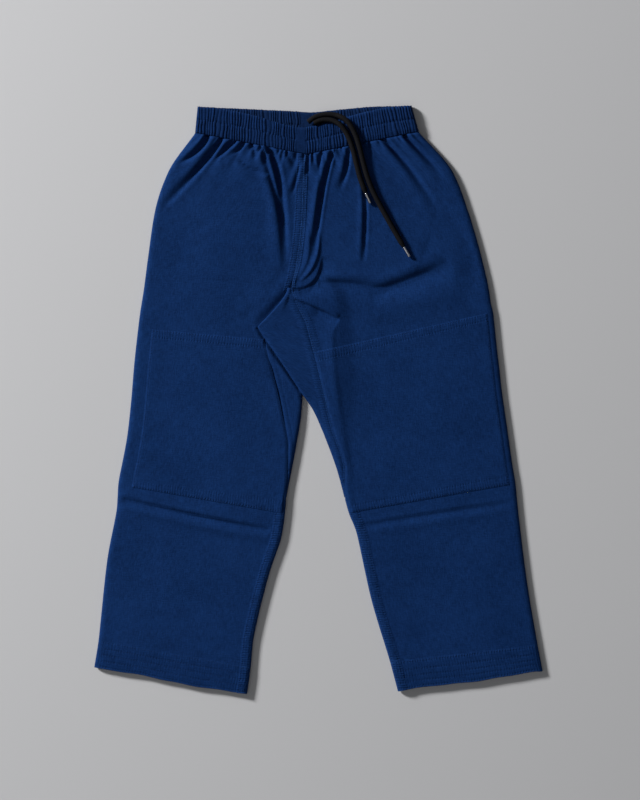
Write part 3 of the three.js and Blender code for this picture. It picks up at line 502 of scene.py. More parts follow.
class Cloth:
    """Makes meshes from grids of points in millimetres."""

    @staticmethod
    def mesh(name: str, points: np.ndarray, uv: np.ndarray, marks: dict, reverse: bool) -> bpy.types.Object:
        """Makes one curved sheet.

        Args:
            name: The piece's name.
            points: Rows and columns of points, in millimetres.
            uv: Their places on the cut cloth, in metres.
            marks: Strength of wear and puckers at each point, from 0 to 1.
            reverse: Whether the faces are turned over, so that their fronts are the outside of the cloth.

        Returns:
            The new object.
        """
        rows, columns = points.shape[:2]
        index = np.arange(rows * columns).reshape(rows, columns)
        quads = np.stack([index[:-1, :-1], index[:-1, 1:], index[1:, 1:], index[1:, :-1]], axis=-1).reshape(-1, 4)
        if reverse:
            quads = quads[:, ::-1]
        data = bpy.data.meshes.new(name)
        data.from_pydata((points.reshape(-1, 3) * MM).tolist(), [], quads.tolist())
        layer = data.uv_layers.new(name="cloth")
        flat = uv.reshape(-1, 2)[quads.reshape(-1)]
        layer.data.foreach_set("uv", flat.astype(np.float32).reshape(-1))
        for mark, values in marks.items():
            attribute = data.attributes.new(mark, "FLOAT", "POINT")
            attribute.data.foreach_set("value", np.asarray(values, dtype=np.float32).reshape(-1))
        data.update()
        data.shade_smooth()
        made = bpy.data.objects.new(name, data)
        bpy.context.collection.objects.link(made)
        return made

    @staticmethod
    def thicken(piece: bpy.types.Object, thickness: float, offset: float = -1.0) -> None:
        """Gives a sheet its wall, in millimetres, inwards of its face."""
        modifier = piece.modifiers.new("wall", "SOLIDIFY")
        modifier.thickness = thickness * MM
        modifier.offset = offset
        modifier.use_even_offset = False
        pick(piece)
        bpy.ops.object.modifier_apply(modifier=modifier.name)

    @staticmethod
    def normals(points: np.ndarray, sign: float) -> np.ndarray:
        """Outward directions of a grid."""
        down = np.gradient(points, axis=0)
        over = np.gradient(points, axis=1)
        facing = np.cross(over, down) * sign
        return facing / np.maximum(np.linalg.norm(facing, axis=2, keepdims=True), 1e-9)

    @staticmethod
    def area(points: np.ndarray) -> float:
        """Area of a grid, in square metres."""
        down = np.diff(points, axis=0)[:, :-1]
        over = np.diff(points, axis=1)[:-1]
        return float(np.linalg.norm(np.cross(down, over), axis=2).sum()) * MM * MM


class Creases:
    """All creases of the front of the trousers."""

    STEPS = 10

    def __init__(self) -> None:
        """Draws each crease as an arc."""
        names = CREASE.split()
        self.lines = []
        for row in CREASES:
            crease = dict(zip(names, row))
            a = np.array([crease["x0"], crease["y0"]])
            c = np.array([crease["x2"], crease["y2"]])
            b = 2 * np.array([crease["x1"], crease["y1"]]) - (a + c) / 2
            f = np.linspace(0, 1, self.STEPS + 1)[:, None]
            crease["points"] = (1 - f) ** 2 * a + 2 * f * (1 - f) * b + f ** 2 * c
            self.lines.append(crease)

    def rise(self, x: np.ndarray, y: np.ndarray, cloth: str) -> np.ndarray:
        """How much all creases raise or lower the cloth.

        Args:
            x: Places across, in millimetres.
            y: Places along, in millimetres.
            cloth: The leg's mark.

        Returns:
            The change of height at those places, in millimetres.
        """
        total = np.zeros_like(x)
        for crease in self.lines:
            if cloth not in crease["cloth"]:
                continue
            nearest = np.full_like(x, 1e9)
            steep = np.zeros_like(x, dtype=bool)
            along = np.zeros_like(x)
            for i in range(self.STEPS):
                a, b = crease["points"][i], crease["points"][i + 1]
                run = b - a
                f = np.clip(((x - a[0]) * run[0] + (y - a[1]) * run[1]) / (run @ run), 0, 1)
                distance = np.hypot(x - a[0] - f * run[0], y - a[1] - f * run[1])
                closer = distance < nearest
                nearest = np.where(closer, distance, nearest)
                along = np.where(closer, (i + f) / self.STEPS, along)
                steep = np.where(closer, run[0] * (y - a[1]) - run[1] * (x - a[0]) > 0, steep)
            breadth = mix(crease["begin"], crease["finish"], along)
            fullness = 1 - along ** 3 if crease["ends"] == 1 else quarter(2 * along - 1)
            sharp = crease["begin"] < 12
            if sharp:
                breadth = breadth * np.where(steep, 0.58, 3.6 if crease["ends"] == 2 else 1.2)
            shape = bell(nearest, breadth)
            if sharp and crease["rise"] < 0 and crease["ends"] != 2:
                shape = shape - np.where(steep, 0.18, 0.42) * bell(nearest - 2.3 * breadth, 1.2 * breadth)
            total += crease["rise"] * fullness * shape
        return total


CREASE_MAP = Creases()


@dataclass
class Leg:
    """One leg with its half of the seat: cut shape, folds and pieces."""

    mark: str
    sections: list
    places: str
    outward: float
    patch_from: float
    felled_front: bool
    gather_table: list

    def __post_init__(self) -> None:
        """Reads the columns of the leg's table."""
        data = np.array(self.sections, dtype=float)
        self.columns = {name: data[:, i] for i, name in enumerate(SECTION.split())}
        self.names = self.places.split()
        self.end = len(self.names) - 1

    def at(self, place: str) -> int:
        """Number of a named section."""
        return self.names.index(place)

    def section(self, t: np.ndarray) -> dict:
        """Everything about the sections at places t down the leg."""
        got = {name: monotone(values, t) for name, values in self.columns.items()}
        dx, dy = got["edgeX"] - got["sideX"], got["edgeY"] - got["sideY"]
        length = np.hypot(dx, dy)
        got.update(length=length, ax=dx / length, ay=dy / length)
        for name in ("front", "back"):
            reach = (got[name + "X"] - got["sideX"]) / dx * length
            got[name] = np.minimum(reach, length)
        got["roll"] = INSEAM_ROLL * (got["edgeTop"] - got["lift"])
        got["middle"] = (got["edgeTop"] + got["lift"]) / 2
        return got

    def flat(self, t: np.ndarray, s: np.ndarray) -> tuple[np.ndarray, np.ndarray]:
        """Place on the surface of points s from the side edge."""
        got = self.section(t)
        return got["sideX"] + got["ax"] * s, got["sideY"] + got["ay"] * s

    def strip(self, t: np.ndarray, s: np.ndarray, got: dict) -> tuple[np.ndarray, np.ndarray]:
        """Strength of the felled seams, and of their two rows of stitches, from 0 to 1."""
        inner, toseam = got["length"] - s, got["front"] - s
        upper = t < self.at("crotch")
        low = t > self.at("gussetTip")
        width = 9.0 if self.felled_front else 3.6
        strip = np.where(upper, smooth((width + 0.8 - toseam) / 1.4), 0.0)
        joined = 0.0 if self.felled_front else 0.6
        strip = np.where(~upper & ~low, joined * smooth((9.8 - toseam) / 1.4), strip)
        strip = np.where(low, smooth((12.8 - inner) / 1.4), strip)
        rows = np.zeros_like(s)
        for row in ((1.5, width - 1.5) if self.felled_front else (1.5,)):
            rows += np.where(upper, bell(toseam - row, ROW_BREADTH), 0.0)
        for row in (1.5, 8.3):
            rows += np.where(~upper & ~low, joined * bell(toseam - row, ROW_BREADTH), 0.0)
        for row in INSEAM_ROWS:
            rows += np.where(low, bell(inner - row, ROW_BREADTH), 0.0)
        return strip, rows

    def reliefs(self, t: np.ndarray, s: np.ndarray, got: dict) -> np.ndarray:
        """Raised seams and hems with their sunk stitches, in millimetres."""
        strip, rows = self.strip(t, s, got)
        hem, hem_rows = self.hem(t)
        uneven = 0.75 + 0.25 * np.sin(t * 19.0 + s / 13.0)
        between = (t > self.at("flap")) & (t < self.at("gussetTip")) & self.felled_front
        hem = hem + np.where(between, 0.35 * bell(got["front"] - s, 2.4), 0.0)
        rows, hem_rows = rows * uneven, hem_rows * (0.75 + 0.25 * np.sin(s / 9.0))
        return 0.6 * strip - 0.42 * rows + 0.5 * hem - 0.34 * hem_rows

    def hem(self, t: np.ndarray) -> tuple[np.ndarray, np.ndarray]:
        """Strength of the doubled cloth of the hem, and of its rows of stitches, from 0 to 1."""
        share = t - self.at("hemTop")
        rows = np.zeros_like(t)
        for row in HEM_ROWS:
            rows += bell((share - row) * HEM_DEPTH, ROW_BREADTH)
        return smooth((share + 0.03) / 0.06), np.where(share > -0.2, rows, 0.0)

    def gathers(self, t: np.ndarray, s: np.ndarray, got: dict) -> np.ndarray:
        """Small gathers under the waistband, each with its own length and depth."""
        down = (self.columns["sideY"][0] - got["sideY"] + self.columns["edgeY"][0] - got["edgeY"]) / 2
        total = np.zeros_like(s)
        for share, length, depth, breadth in self.gather_table:
            drift = 1 + 0.03 * math.sin(share * 90)
            distance = s - share * drift * got["length"]
            wide = breadth * (1 + down / 26) * np.where(distance * self.outward < 0, 0.75, 1.3)
            total -= depth * bell(distance, wide) * (1 - smooth(down / (1.5 * length)))
            total += 0.35 * depth * bell(np.abs(distance) - 2.4 * wide, 1.2 * wide) * (1 - smooth(down / length))
        swell = np.sin(s * 2 * math.pi / 27.0 + 1.1 * np.sin(s / 31.0))
        return total + 0.35 * swell * (1 - smooth(t / 2.2))

    def upper(self, t: np.ndarray, s: np.ndarray, sewn: bool = True) -> np.ndarray:
        """Height of the upper face of the cloth.

        Args:
            t: Places down the leg.
            s: Distances from the side edge, in millimetres.
            sewn: Whether seams and their puckers are added.

        Returns:
            The heights, in millimetres.
        """
        got = self.section(t)
        inner = got["length"] - s
        level = mix(got["edgeTop"], got["top"], smooth((inner - got["shelf"]) / got["soft"]))
        x, y = got["sideX"] + got["ax"] * s, got["sideY"] + got["ay"] * s
        waves = 0.20 * np.sin(x / 19.0 + 1.4 * np.sin(y / 33.0)) * np.sin(y / 27.0 + 0.6 * np.sin(x / 21.0))
        waves += 0.05 * np.sin(x / 7.3 + 2.0 * np.sin(y / 12.0)) * np.sin(y / 8.7)
        loose = CREASE_MAP.rise(x, y, self.mark) + self.gathers(t, s, got) + waves
        clear = smooth((s - SIDE_ROLL * 0.5) / SIDE_ROLL) * smooth((inner - got["roll"]) / SEAM_MARGIN)
        over_flap = smooth((s - got["back"] + CLOTH + 30.0) / 28.0) * (got["lift"] > 0)
        least = mix(2 * CLOTH + 0.3, np.maximum(got["lift"] + 2 * CLOTH + 0.05, 2 * CLOTH + 0.3), over_flap)
        height = np.maximum(level + loose * clear, least)
        if sewn:
            height = height + self.reliefs(t, s, got) * smooth((s - SIDE_ROLL) / SIDE_ROLL + 0.3)
        half = got["top"] / 2
        side = half + (height - half) * quarter(np.clip((SIDE_ROLL - s) / SIDE_ROLL, 0, 1))
        edge = got["middle"] + (height - got["middle"]) * quarter(np.clip((got["roll"] - inner) / got["roll"], 0, 1))
        height = np.where(s < SIDE_ROLL, side, np.where(inner < got["roll"], edge, height))
        rolled = np.where(inner < got["roll"], got["middle"], 2 * CLOTH)
        return np.maximum(height, np.where(s < SIDE_ROLL, half, rolled) + SEAM / 2)

    def under(self, t: np.ndarray, s: np.ndarray) -> np.ndarray:
        """Height of the lower face of the back panel, in millimetres."""
        got = self.section(t)
        inner = got["length"] - s
        half = got["top"] / 2
        side = np.minimum(half * (1 - quarter((SIDE_ROLL - s) / SIDE_ROLL)), half - SEAM / 2)
        turned = np.clip((got["roll"] - inner) / got["roll"], 0, 1)
        edge = np.minimum(got["middle"] * (1 - quarter(turned)), got["middle"] - SEAM / 2)
        level = np.where((inner < got["roll"]) & (got["lift"] <= 0), edge, 0.0)
        return np.where(s < SIDE_ROLL, side, level)

    def rows(self, start: float, finish: float, step: float = ROW_STEP, fine: tuple = (),
             close: tuple = (0.0, 0.0)) -> np.ndarray:
        """Places down the leg with even steps on the cloth.

        Args:
            start: First place.
            finish: Last place.
            step: Distance between rows, in millimetres.
            fine: Spans of places that get the fine step of a seam.
            close: Span of places that gets half the step.

        Returns:
            The places.
        """
        dense = np.linspace(start, finish, 1500)
        got = self.section(dense)
        run = np.hypot(np.diff((got["sideX"] + got["edgeX"]) / 2), np.diff((got["sideY"] + got["edgeY"]) / 2))
        middle = (dense[1:] + dense[:-1]) / 2
        density = np.where((middle > close[0]) & (middle < close[1]), 2 / step, 1 / step)
        for low, high in fine:
            density[(middle >= low) & (middle <= high)] = 1 / SEAM_STEP
        total = np.concatenate([[0], np.cumsum(run * density)])
        return np.interp(np.linspace(0, total[-1], int(total[-1]) + 2), total, dense)

    def grid(self, t: np.ndarray, begin: float | np.ndarray, finish: float | np.ndarray, step: float = CLOTH_STEP,
             fine: tuple = (0.0, 0.0), close: float = 0.0) -> tuple[np.ndarray, np.ndarray]:
        """Grid of places t and s between two distances from the side edge.

        Args:
            t: Places down the leg.
            begin: Where the rows begin, in millimetres from the side edge.
            finish: Where they end.
            step: Distance between columns.
            fine: Breadths of the finely divided strips at both ends.
            close: Breadth of the closely divided cloth beside the last strip.

        Returns:
            The places of all points.
        """
        begin = np.broadcast_to(begin, t.shape)
        finish = np.broadcast_to(finish, t.shape)
        width = float(np.max(finish - begin))
        parts = []
        for breadth in fine:
            count = int(breadth / SEAM_STEP)
            parts.append(np.linspace(0, breadth / width, count + 1) ** 1.15 * (breadth / width) ** -0.15 if count else
                         np.zeros(1))
        low, high = parts[0][-1], 1 - parts[1][-1]
        near = max(low, high - close / width)
        wide = np.linspace(low, near, int((near - low) * width / step) + 2)[:-1] if near > low else np.zeros(0)
        tight = np.linspace(near, high, int((high - near) * width / CLOSE_STEP) + 1)
        share = np.concatenate([parts[0][:-1], wide, tight, 1 - parts[1][:-1][::-1]])
        s = begin[:, None] + (finish - begin)[:, None] * share[None, :]
        return np.broadcast_to(t[:, None], s.shape).copy(), s

    def points(self, t: np.ndarray, s: np.ndarray, z: np.ndarray) -> np.ndarray:
        """Points in millimetres from places on the leg; the hem's edge waves a little."""
        x, y = self.flat(t, s)
        low = smooth(t - (self.end - 1)) * smooth(s / 12.0)
        wave = 0.9 * np.sin(s / 21.0 + 0.9 * self.outward) + 0.35 * np.sin(s / 7.3)
        return np.stack([x, y + wave * low, z], axis=-1)

    def cut(self, points: np.ndarray, s: np.ndarray) -> np.ndarray:
        """Places on the cut cloth, in metres: across the panel and along it."""
        return np.stack([s * self.outward + 300, points[..., 1]], axis=-1) * MM

    def marks(self, t: np.ndarray, s: np.ndarray) -> dict:
        """Wear along seams, and where the cloth puckers along and across its grain."""
        got = self.section(t)
        strip, rows = self.strip(t, s, got)
        hem, hem_rows = self.hem(t)
        worn = 0.5 * bell(got["front"] - s, 2.0) + 0.4 * bell(s, 4.0) + 0.25 * strip
        worn += 0.8 * bell((self.end - t) * HEM_DEPTH, 1.6) + 0.3 * bell((t - self.at("hemTop")) * HEM_DEPTH, 1.6)
        return {
            "wear": np.clip(worn, 0, 1),
            "pucker_along": np.clip(0.55 * strip + 0.6 * rows, 0, 1),
            "pucker_across": np.clip(0.22 * hem + 0.6 * hem_rows, 0, 1),
        }

    def front_panel(self) -> bpy.types.Object:
        """Front panel from the waistband to the hem."""
        close = (self.at("seat") + 0.4, self.at("patchTop") + 0.2)
        t = self.rows(0.0, float(self.end), fine=((self.at("hemTop") - 0.1, self.end),), close=close)
        tt, ss = self.grid(t, 0.0, self.section(t)["front"], fine=(SIDE_ROLL, 13.5), close=46.0)
        points = self.points(tt, ss, self.upper(tt, ss))
        name = f"drill_front_{self.mark}"
        piece = Cloth.mesh(name, points, self.cut(points, ss), self.marks(tt, ss), self.outward < 0)
        Cloth.thicken(piece, CLOTH)
        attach(piece, "root")
        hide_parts(f"front_panel_{self.mark}")
        round(Cloth.area(points), 3)
        return piece

    def back_panel(self) -> bpy.types.Object:
        """Back panel, flat on the surface."""
        t = self.rows(0.0, float(self.end), step=BACK_STEP)
        tt, ss = self.grid(t, 0.0, self.section(t)["back"], step=BACK_STEP, fine=(SIDE_ROLL, 5.0))
        points = self.points(tt, ss, self.under(tt, ss))
        got = self.section(tt[:1])
        waist = mix(got["sideY"], CENTRE_BACK[1], ss[:1] / got["back"])
        points[..., 1] += smooth(1 - tt / 0.8) * (waist - SEAM - points[:1, :, 1])
        name = f"drill_back_{self.mark}"
        piece = Cloth.mesh(name, points, self.cut(points, ss), self.marks(tt, ss), self.outward > 0)
        Cloth.thicken(piece, CLOTH)
        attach(piece, "root")
        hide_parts(f"back_panel_{self.mark}")
        round(Cloth.area(points), 3)
        return piece

    def turned_hem(self, side: str) -> bpy.types.Object:
        """Turned-up hem inside the leg, against its front or its back panel.

        Args:
            side: The word front or back.

        Returns:
            The new piece.
        """
        front = side == "front"
        t = self.rows(self.at("hemTop") + 0.06, self.end - 0.01)
        got = self.section(t)
        tt, ss = self.grid(t, SIDE_ROLL + 1.5, got["length"] - got["roll"] - 1.5, step=BACK_STEP)
        inside = self.upper(tt, ss, sewn=False) - CLOTH - 0.15 if front else self.under(tt, ss) + CLOTH + 0.15
        points = self.points(tt, ss, inside)
        name = f"drill_hem_{side}_{self.mark}"
        piece = Cloth.mesh(name, points, self.cut(points, ss), {"wear": 0 * ss}, (self.outward < 0) == front)
        Cloth.thicken(piece, TURNED_CLOTH)
        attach(piece, "root")
        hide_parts(f"hem_{side}_{self.mark}")
        round(Cloth.area(points), 4)
        return piece

    def patch_span(self, t: np.ndarray) -> tuple[np.ndarray, np.ndarray]:
        """Where the knee patch begins and ends, from the side edge."""
        got = self.section(t)
        return np.full_like(t, self.patch_from), np.minimum(got["length"] - 0.5 * got["roll"], got["front"] - 0.8)

    def knee_patch(self) -> bpy.types.Object:
        """Knee patch, sewn on the front panel: two rows at its top and bottom, one at its outer side."""
        top, end = float(self.at("patchTop")), float(self.at("patchEnd"))
        t = self.rows(top, end, fine=((top, top + 0.32), (end - 0.5, end)))
        begin, finish = self.patch_span(t)
        tt, ss = self.grid(t, begin, finish, fine=(6.0, 4.0))
        points = self.points(tt, ss, self.upper(tt, ss))
        normals = Cloth.normals(points, -1.0 if self.outward < 0 else 1.0)
        down = np.cumsum(np.r_[0, np.hypot(*np.diff(points[:, points.shape[1] // 2, :2], axis=0).T)])[:, None]
        depth = down[-1] - down
        rows = sum(bell(distance - row, ROW_BREADTH) for row in PATCH_ROWS for distance in (down, depth))
        side = bell(ss - self.patch_from - 2.0, 0.9)
        strips = smooth((12.0 - np.minimum(down, depth)) / 2.0)
        edge = np.minimum(np.minimum(down, depth), np.minimum(ss - self.patch_from, finish[:, None] - ss))
        lift = 0.20 + 0.08 * strips - 0.24 * (0.8 + 0.2 * np.sin(ss / 8.0)) * rows - 0.15 * side
        sewn_down = PATCH_CLOTH * (1 - smooth(edge / 3.0))
        points = points + normals * (0.03 - sewn_down + np.maximum(lift, 0.0) * smooth(edge / 2.0))[..., None]
        name = f"drill_knee_patch_{self.mark}"
        marks = {
            "wear": 0.2 * bell(edge, 1.6),
            "pucker_along": 0.3 * side + 0 * ss,
            "pucker_across": np.clip(0.22 * strips + 0.45 * rows, 0, 1) + 0 * ss,
        }
        piece = Cloth.mesh(name, points, self.cut(points, ss), marks, self.outward < 0)
        Cloth.thicken(piece, PATCH_CLOTH, 1.0)
        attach(piece, "root")
        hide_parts(f"knee_patch_{self.mark}")
        round(Cloth.area(points), 3)
        return piece

    def gusset_path(self, t: float) -> tuple[np.ndarray, np.ndarray, float, float]:
        """Half the gusset at one section, from the back seam round the inner edge to the front seam.

        Args:
            t: The place down the leg.

        Returns:
            Distances from the side edge, heights, and where the fold begins and ends along the path.
        """
        got = {name: float(value[0]) for name, value in self.section(np.array([t])).items()}
        length, roll, lift = got["length"], got["roll"], got["lift"]
        raised = min(lift / FLAP_HEIGHT, 1.0)
        foot = got["back"] + SEAM + 6.4 * raised * (1 - raised)
        base = raised * (CLOTH + SEAM)
        straight = length - roll
        reaches = (length - foot, length - got["front"] - SEAM)
        turns = [math.acos(min(max((roll - reach) / roll, 0), 1)) for reach in reaches]
        width = min(FLAP_FOOT * raised, straight - foot)
        path = []
        if width > 0:
            path += [(foot + width * f, mix(base, lift, float(quarter(1 - f)))) for f in np.linspace(0, 1, 10)]
        elif foot < straight:
            path.append((foot, lift))
        crisp = 1 - 0.6 * raised * float(smooth((self.at("flap") + 0.1 - t) / 0.2))
        for angle in np.linspace(-turns[0], turns[1], 30):
            bow = max(math.cos(angle), 0.0) ** crisp
            path.append((straight + roll * bow, got["middle"] + (got["edgeTop"] - lift) / 2 * math.sin(angle)))
        end = got["front"] + SEAM
        if end < straight:
            path += [(end, got["edgeTop"]), (end - 1.3, got["edgeTop"] - CLOTH - 0.2),
                     (end - 2.8, got["edgeTop"] - CLOTH - 0.2)]
        path = np.array(path)
        return path[:, 0], path[:, 1], max(straight - foot, 0), max(straight - end, 0)

    def gusset(self) -> bpy.types.Object:
        """Half of the crotch gusset."""
        tip = self.at("gussetTip") - 0.02
        corner = float(self.at("flap"))
        t = self.rows(float(self.at("crotch")), tip, fine=((corner - 1.0, corner + 1.0),))
        shares = (10, 14, 22)
        s_rows, z_rows, u_rows = [], [], []
        for place in t:
            s, z, lower, upper = self.gusset_path(float(place))
            run = np.r_[0, np.cumsum(np.hypot(np.diff(s), np.diff(z)))]
            first, second = max(lower, 0.2 * run[-1]), run[-1] - max(upper, 0.2 * run[-1])
            at = np.r_[first * np.linspace(0, 1, shares[0], endpoint=False) ** 1.6,
                       np.linspace(first, second, shares[1], endpoint=False),
                       np.linspace(second, run[-1], shares[2] + 1)]
            s_rows.append(np.interp(at, run, s))
            z_rows.append(np.interp(at, run, z))
            u_rows.append(at)
        ss, zz, uu = np.array(s_rows), np.array(z_rows), np.array(u_rows)
        tt = np.broadcast_to(t[:, None], ss.shape)
        x, y = self.flat(tt, ss)
        got = self.section(tt)
        top = zz > got["middle"] + 0.1 * (got["edgeTop"] - got["lift"])
        reach = ss - got["front"]
        sunk = 1.0 if self.felled_front else 0.0
        slack = np.maximum(CREASE_MAP.rise(x, y, self.mark), -1.6 - 1.6 * sunk) + 0.4 * sunk * smooth(reach / 3.0)
        slack = slack + 0.15 * np.sin(x / 6.0 + y / 9.0) * np.sin(y / 7.0)
        inner = got["length"] - ss
        room = smooth((inner - 1.5) / 5.0)
        rows = bell(reach - 1.5, 0.9) + bell(reach - 7.5, 0.9)
        seam = 0.45 * smooth((8.8 - reach) / 1.4) * (1 - sunk) - 0.34 * rows
        zz = np.where(top, np.maximum(zz + slack * room + seam * smooth(inner / 4.0), 2 * CLOTH + 0.2), zz)
        points = np.stack([x, y, zz], axis=-1)
        uv = np.stack([uu, y], axis=-1) * MM
        marks = {
            "wear": np.clip(0.25 * bell(inner, 1.2) + 0.3 * bell(reach, 2.0), 0, 1),
            "pucker_along": np.where(top, 0.35 * (1 - sunk) * smooth((8.8 - reach) / 1.4), 0.0),
            "pucker_across": np.zeros_like(ss),
        }
        piece = Cloth.mesh(f"drill_gusset_{self.mark}", points, uv, marks, self.outward > 0)
        Cloth.thicken(piece, CLOTH)
        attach(piece, "root")
        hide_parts(f"gusset_{self.mark}")
        area = round(Cloth.area(points), 4)
        return piece

    def line(self, t: np.ndarray, s: np.ndarray, lift: float = 0.0) -> tuple[np.ndarray, np.ndarray]:
        """Points and facings along a row of stitches on the front of the leg."""
        step = 0.6
        z = self.upper(t, s)
        points = self.points(t, s, z)
        got = self.section(t)
        across = (self.upper(t, s + step) - self.upper(t, s - step)) / (2 * step)
        facing = np.stack([-across * got["ax"], -across * got["ay"], np.ones_like(z)], axis=-1)
        facing /= np.linalg.norm(facing, axis=1, keepdims=True)
        return points + facing * lift, facing

    def stitch_rows(self) -> list:
        """All rows of stitches on the front of this leg, as points and facings."""
        rows = []
        end = float(self.end)
        crotch, tip, hem = (float(self.at(place)) for place in ("crotch", "gussetTip", "hemTop"))
        width = 9.0 if self.felled_front else 4.0
        upper = np.linspace(0.02, crotch - 0.02, 400)
        for inset in ((1.5, width - 1.5) if self.felled_front else (1.5,)):
            rows.append(self.line(upper, self.section(upper)["front"] - inset))
        middle = np.linspace(crotch + 0.05, tip, 500)
        rows.append(self.line(middle, self.section(middle)["front"] - 1.5))
        low = np.linspace(tip + 0.2, end - 0.02, 700)
        for inset in INSEAM_ROWS:
            rows.append(self.line(low, self.section(low)["length"] - inset))
        for share in HEM_ROWS:
            t = np.full(300, hem + share)
            rows.append(self.line(t, np.linspace(6.0, float(self.section(t)["length"][0]) - 2.5, 300)))
        patch = PATCH_CLOTH + 0.05
        for start, sense in ((float(self.at("patchTop")), 1), (float(self.at("patchEnd")), -1)):
            rate = self.rate(start, sense)
            for row in PATCH_ROWS:
                t = np.full(300, start + sense * row * rate)
                begin, finish = self.patch_span(t)
                rows.append(self.line(t, np.linspace(begin[0] + 1, finish[0] - 1, 300), patch))
        t = np.linspace(float(self.at("patchTop")) + 0.03, float(self.at("patchEnd")) - 0.03, 400)
        rows.append(self.line(t, np.full_like(t, self.patch_from + 2.0), patch))
        return rows

    def rate(self, place: float, sense: int) -> float:
        """How far down the table one millimetre of cloth is, near a section."""
        near = self.section(np.array([place, place + 0.05 * sense]))
        middle_x, middle_y = (near["sideX"] + near["edgeX"]) / 2, (near["sideY"] + near["edgeY"]) / 2
        return 0.05 / float(np.hypot(np.diff(middle_x), np.diff(middle_y))[0])


@dataclass
class Stitching:
    """Rows of lock stitches, each a short thread sunk at both ends."""

    length: float = 2.5
    pitch: float = 3.3
    thickness: float = 0.42

    def pattern(self) -> tuple[np.ndarray, list]:
        """Models one stitch, in millimetres along X, and gives its points and faces."""
        bpy.ops.object.select_all(action="DESELECT")
        bpy.ops.mesh.primitive_cylinder_add(vertices=6, radius=0.5, depth=1.0, end_fill_type="NGON",
                                            rotation=(0, math.pi / 2, 0))
        thread = bpy.context.object
        bpy.ops.object.transform_apply(location=True, rotation=True, scale=True)
        bpy.ops.object.mode_set(mode="EDIT")
        bpy.ops.mesh.select_all(action="SELECT")
        bpy.ops.mesh.bisect(plane_co=(0.22, 0, 0), plane_no=(1, 0, 0))
        bpy.ops.mesh.select_all(action="SELECT")
        bpy.ops.mesh.bisect(plane_co=(-0.22, 0, 0), plane_no=(1, 0, 0))
        bpy.ops.object.mode_set(mode="OBJECT")
        points = np.array([vertex.co[:] for vertex in thread.data.vertices])
        faces = [list(polygon.vertices) for polygon in thread.data.polygons]
        bpy.data.objects.remove(thread)
        ends = np.abs(points[:, 0]) > 0.4
        points[ends, 1:] *= 0.55
        points[ends, 2] -= 0.35
        points *= (self.length, self.thickness, self.thickness)
        return points, faces

    def sew(self, name: str, rows: list) -> bpy.types.Object:
        """Sews rows of stitches as one piece.

        Args:
            name: The piece's name.
            rows: Points and facings of each row, in millimetres.

        Returns:
            The joined stitches.
        """
        pattern, faces = self.pattern()
        points, polygons = [], []
        for line, facing in rows:
            run = np.r_[0, np.cumsum(np.linalg.norm(np.diff(line, axis=0), axis=1))]
            places = np.arange(self.pitch / 2, run[-1], self.pitch)
            centre = np.stack([np.interp(places, run, line[:, k]) for k in range(3)], axis=1)
            ahead = np.stack([np.interp(places + 0.8, run, line[:, k]) for k in range(3)], axis=1)
            up = np.stack([np.interp(places, run, facing[:, k]) for k in range(3)], axis=1)
            along = ahead - centre
            along /= np.maximum(np.linalg.norm(along, axis=1, keepdims=True), 1e-9)
            side = np.cross(up, along)
            side /= np.maximum(np.linalg.norm(side, axis=1, keepdims=True), 1e-9)
            up = np.cross(along, side)
            for c, a, b, n in zip(centre, along, side, up):
                base = len(points) * len(pattern)
                points.append(c + pattern @ np.stack([a, b, n]) + n * 0.06)
                polygons.extend([[base + v for v in face] for face in faces])
        data = bpy.data.meshes.new(name)
        data.from_pydata((np.concatenate(points) * MM).tolist(), [], polygons)
        data.update()
        data.shade_smooth()
        made = bpy.data.objects.new(name, data)
        bpy.context.collection.objects.link(made)
        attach(made, "root")
        return made


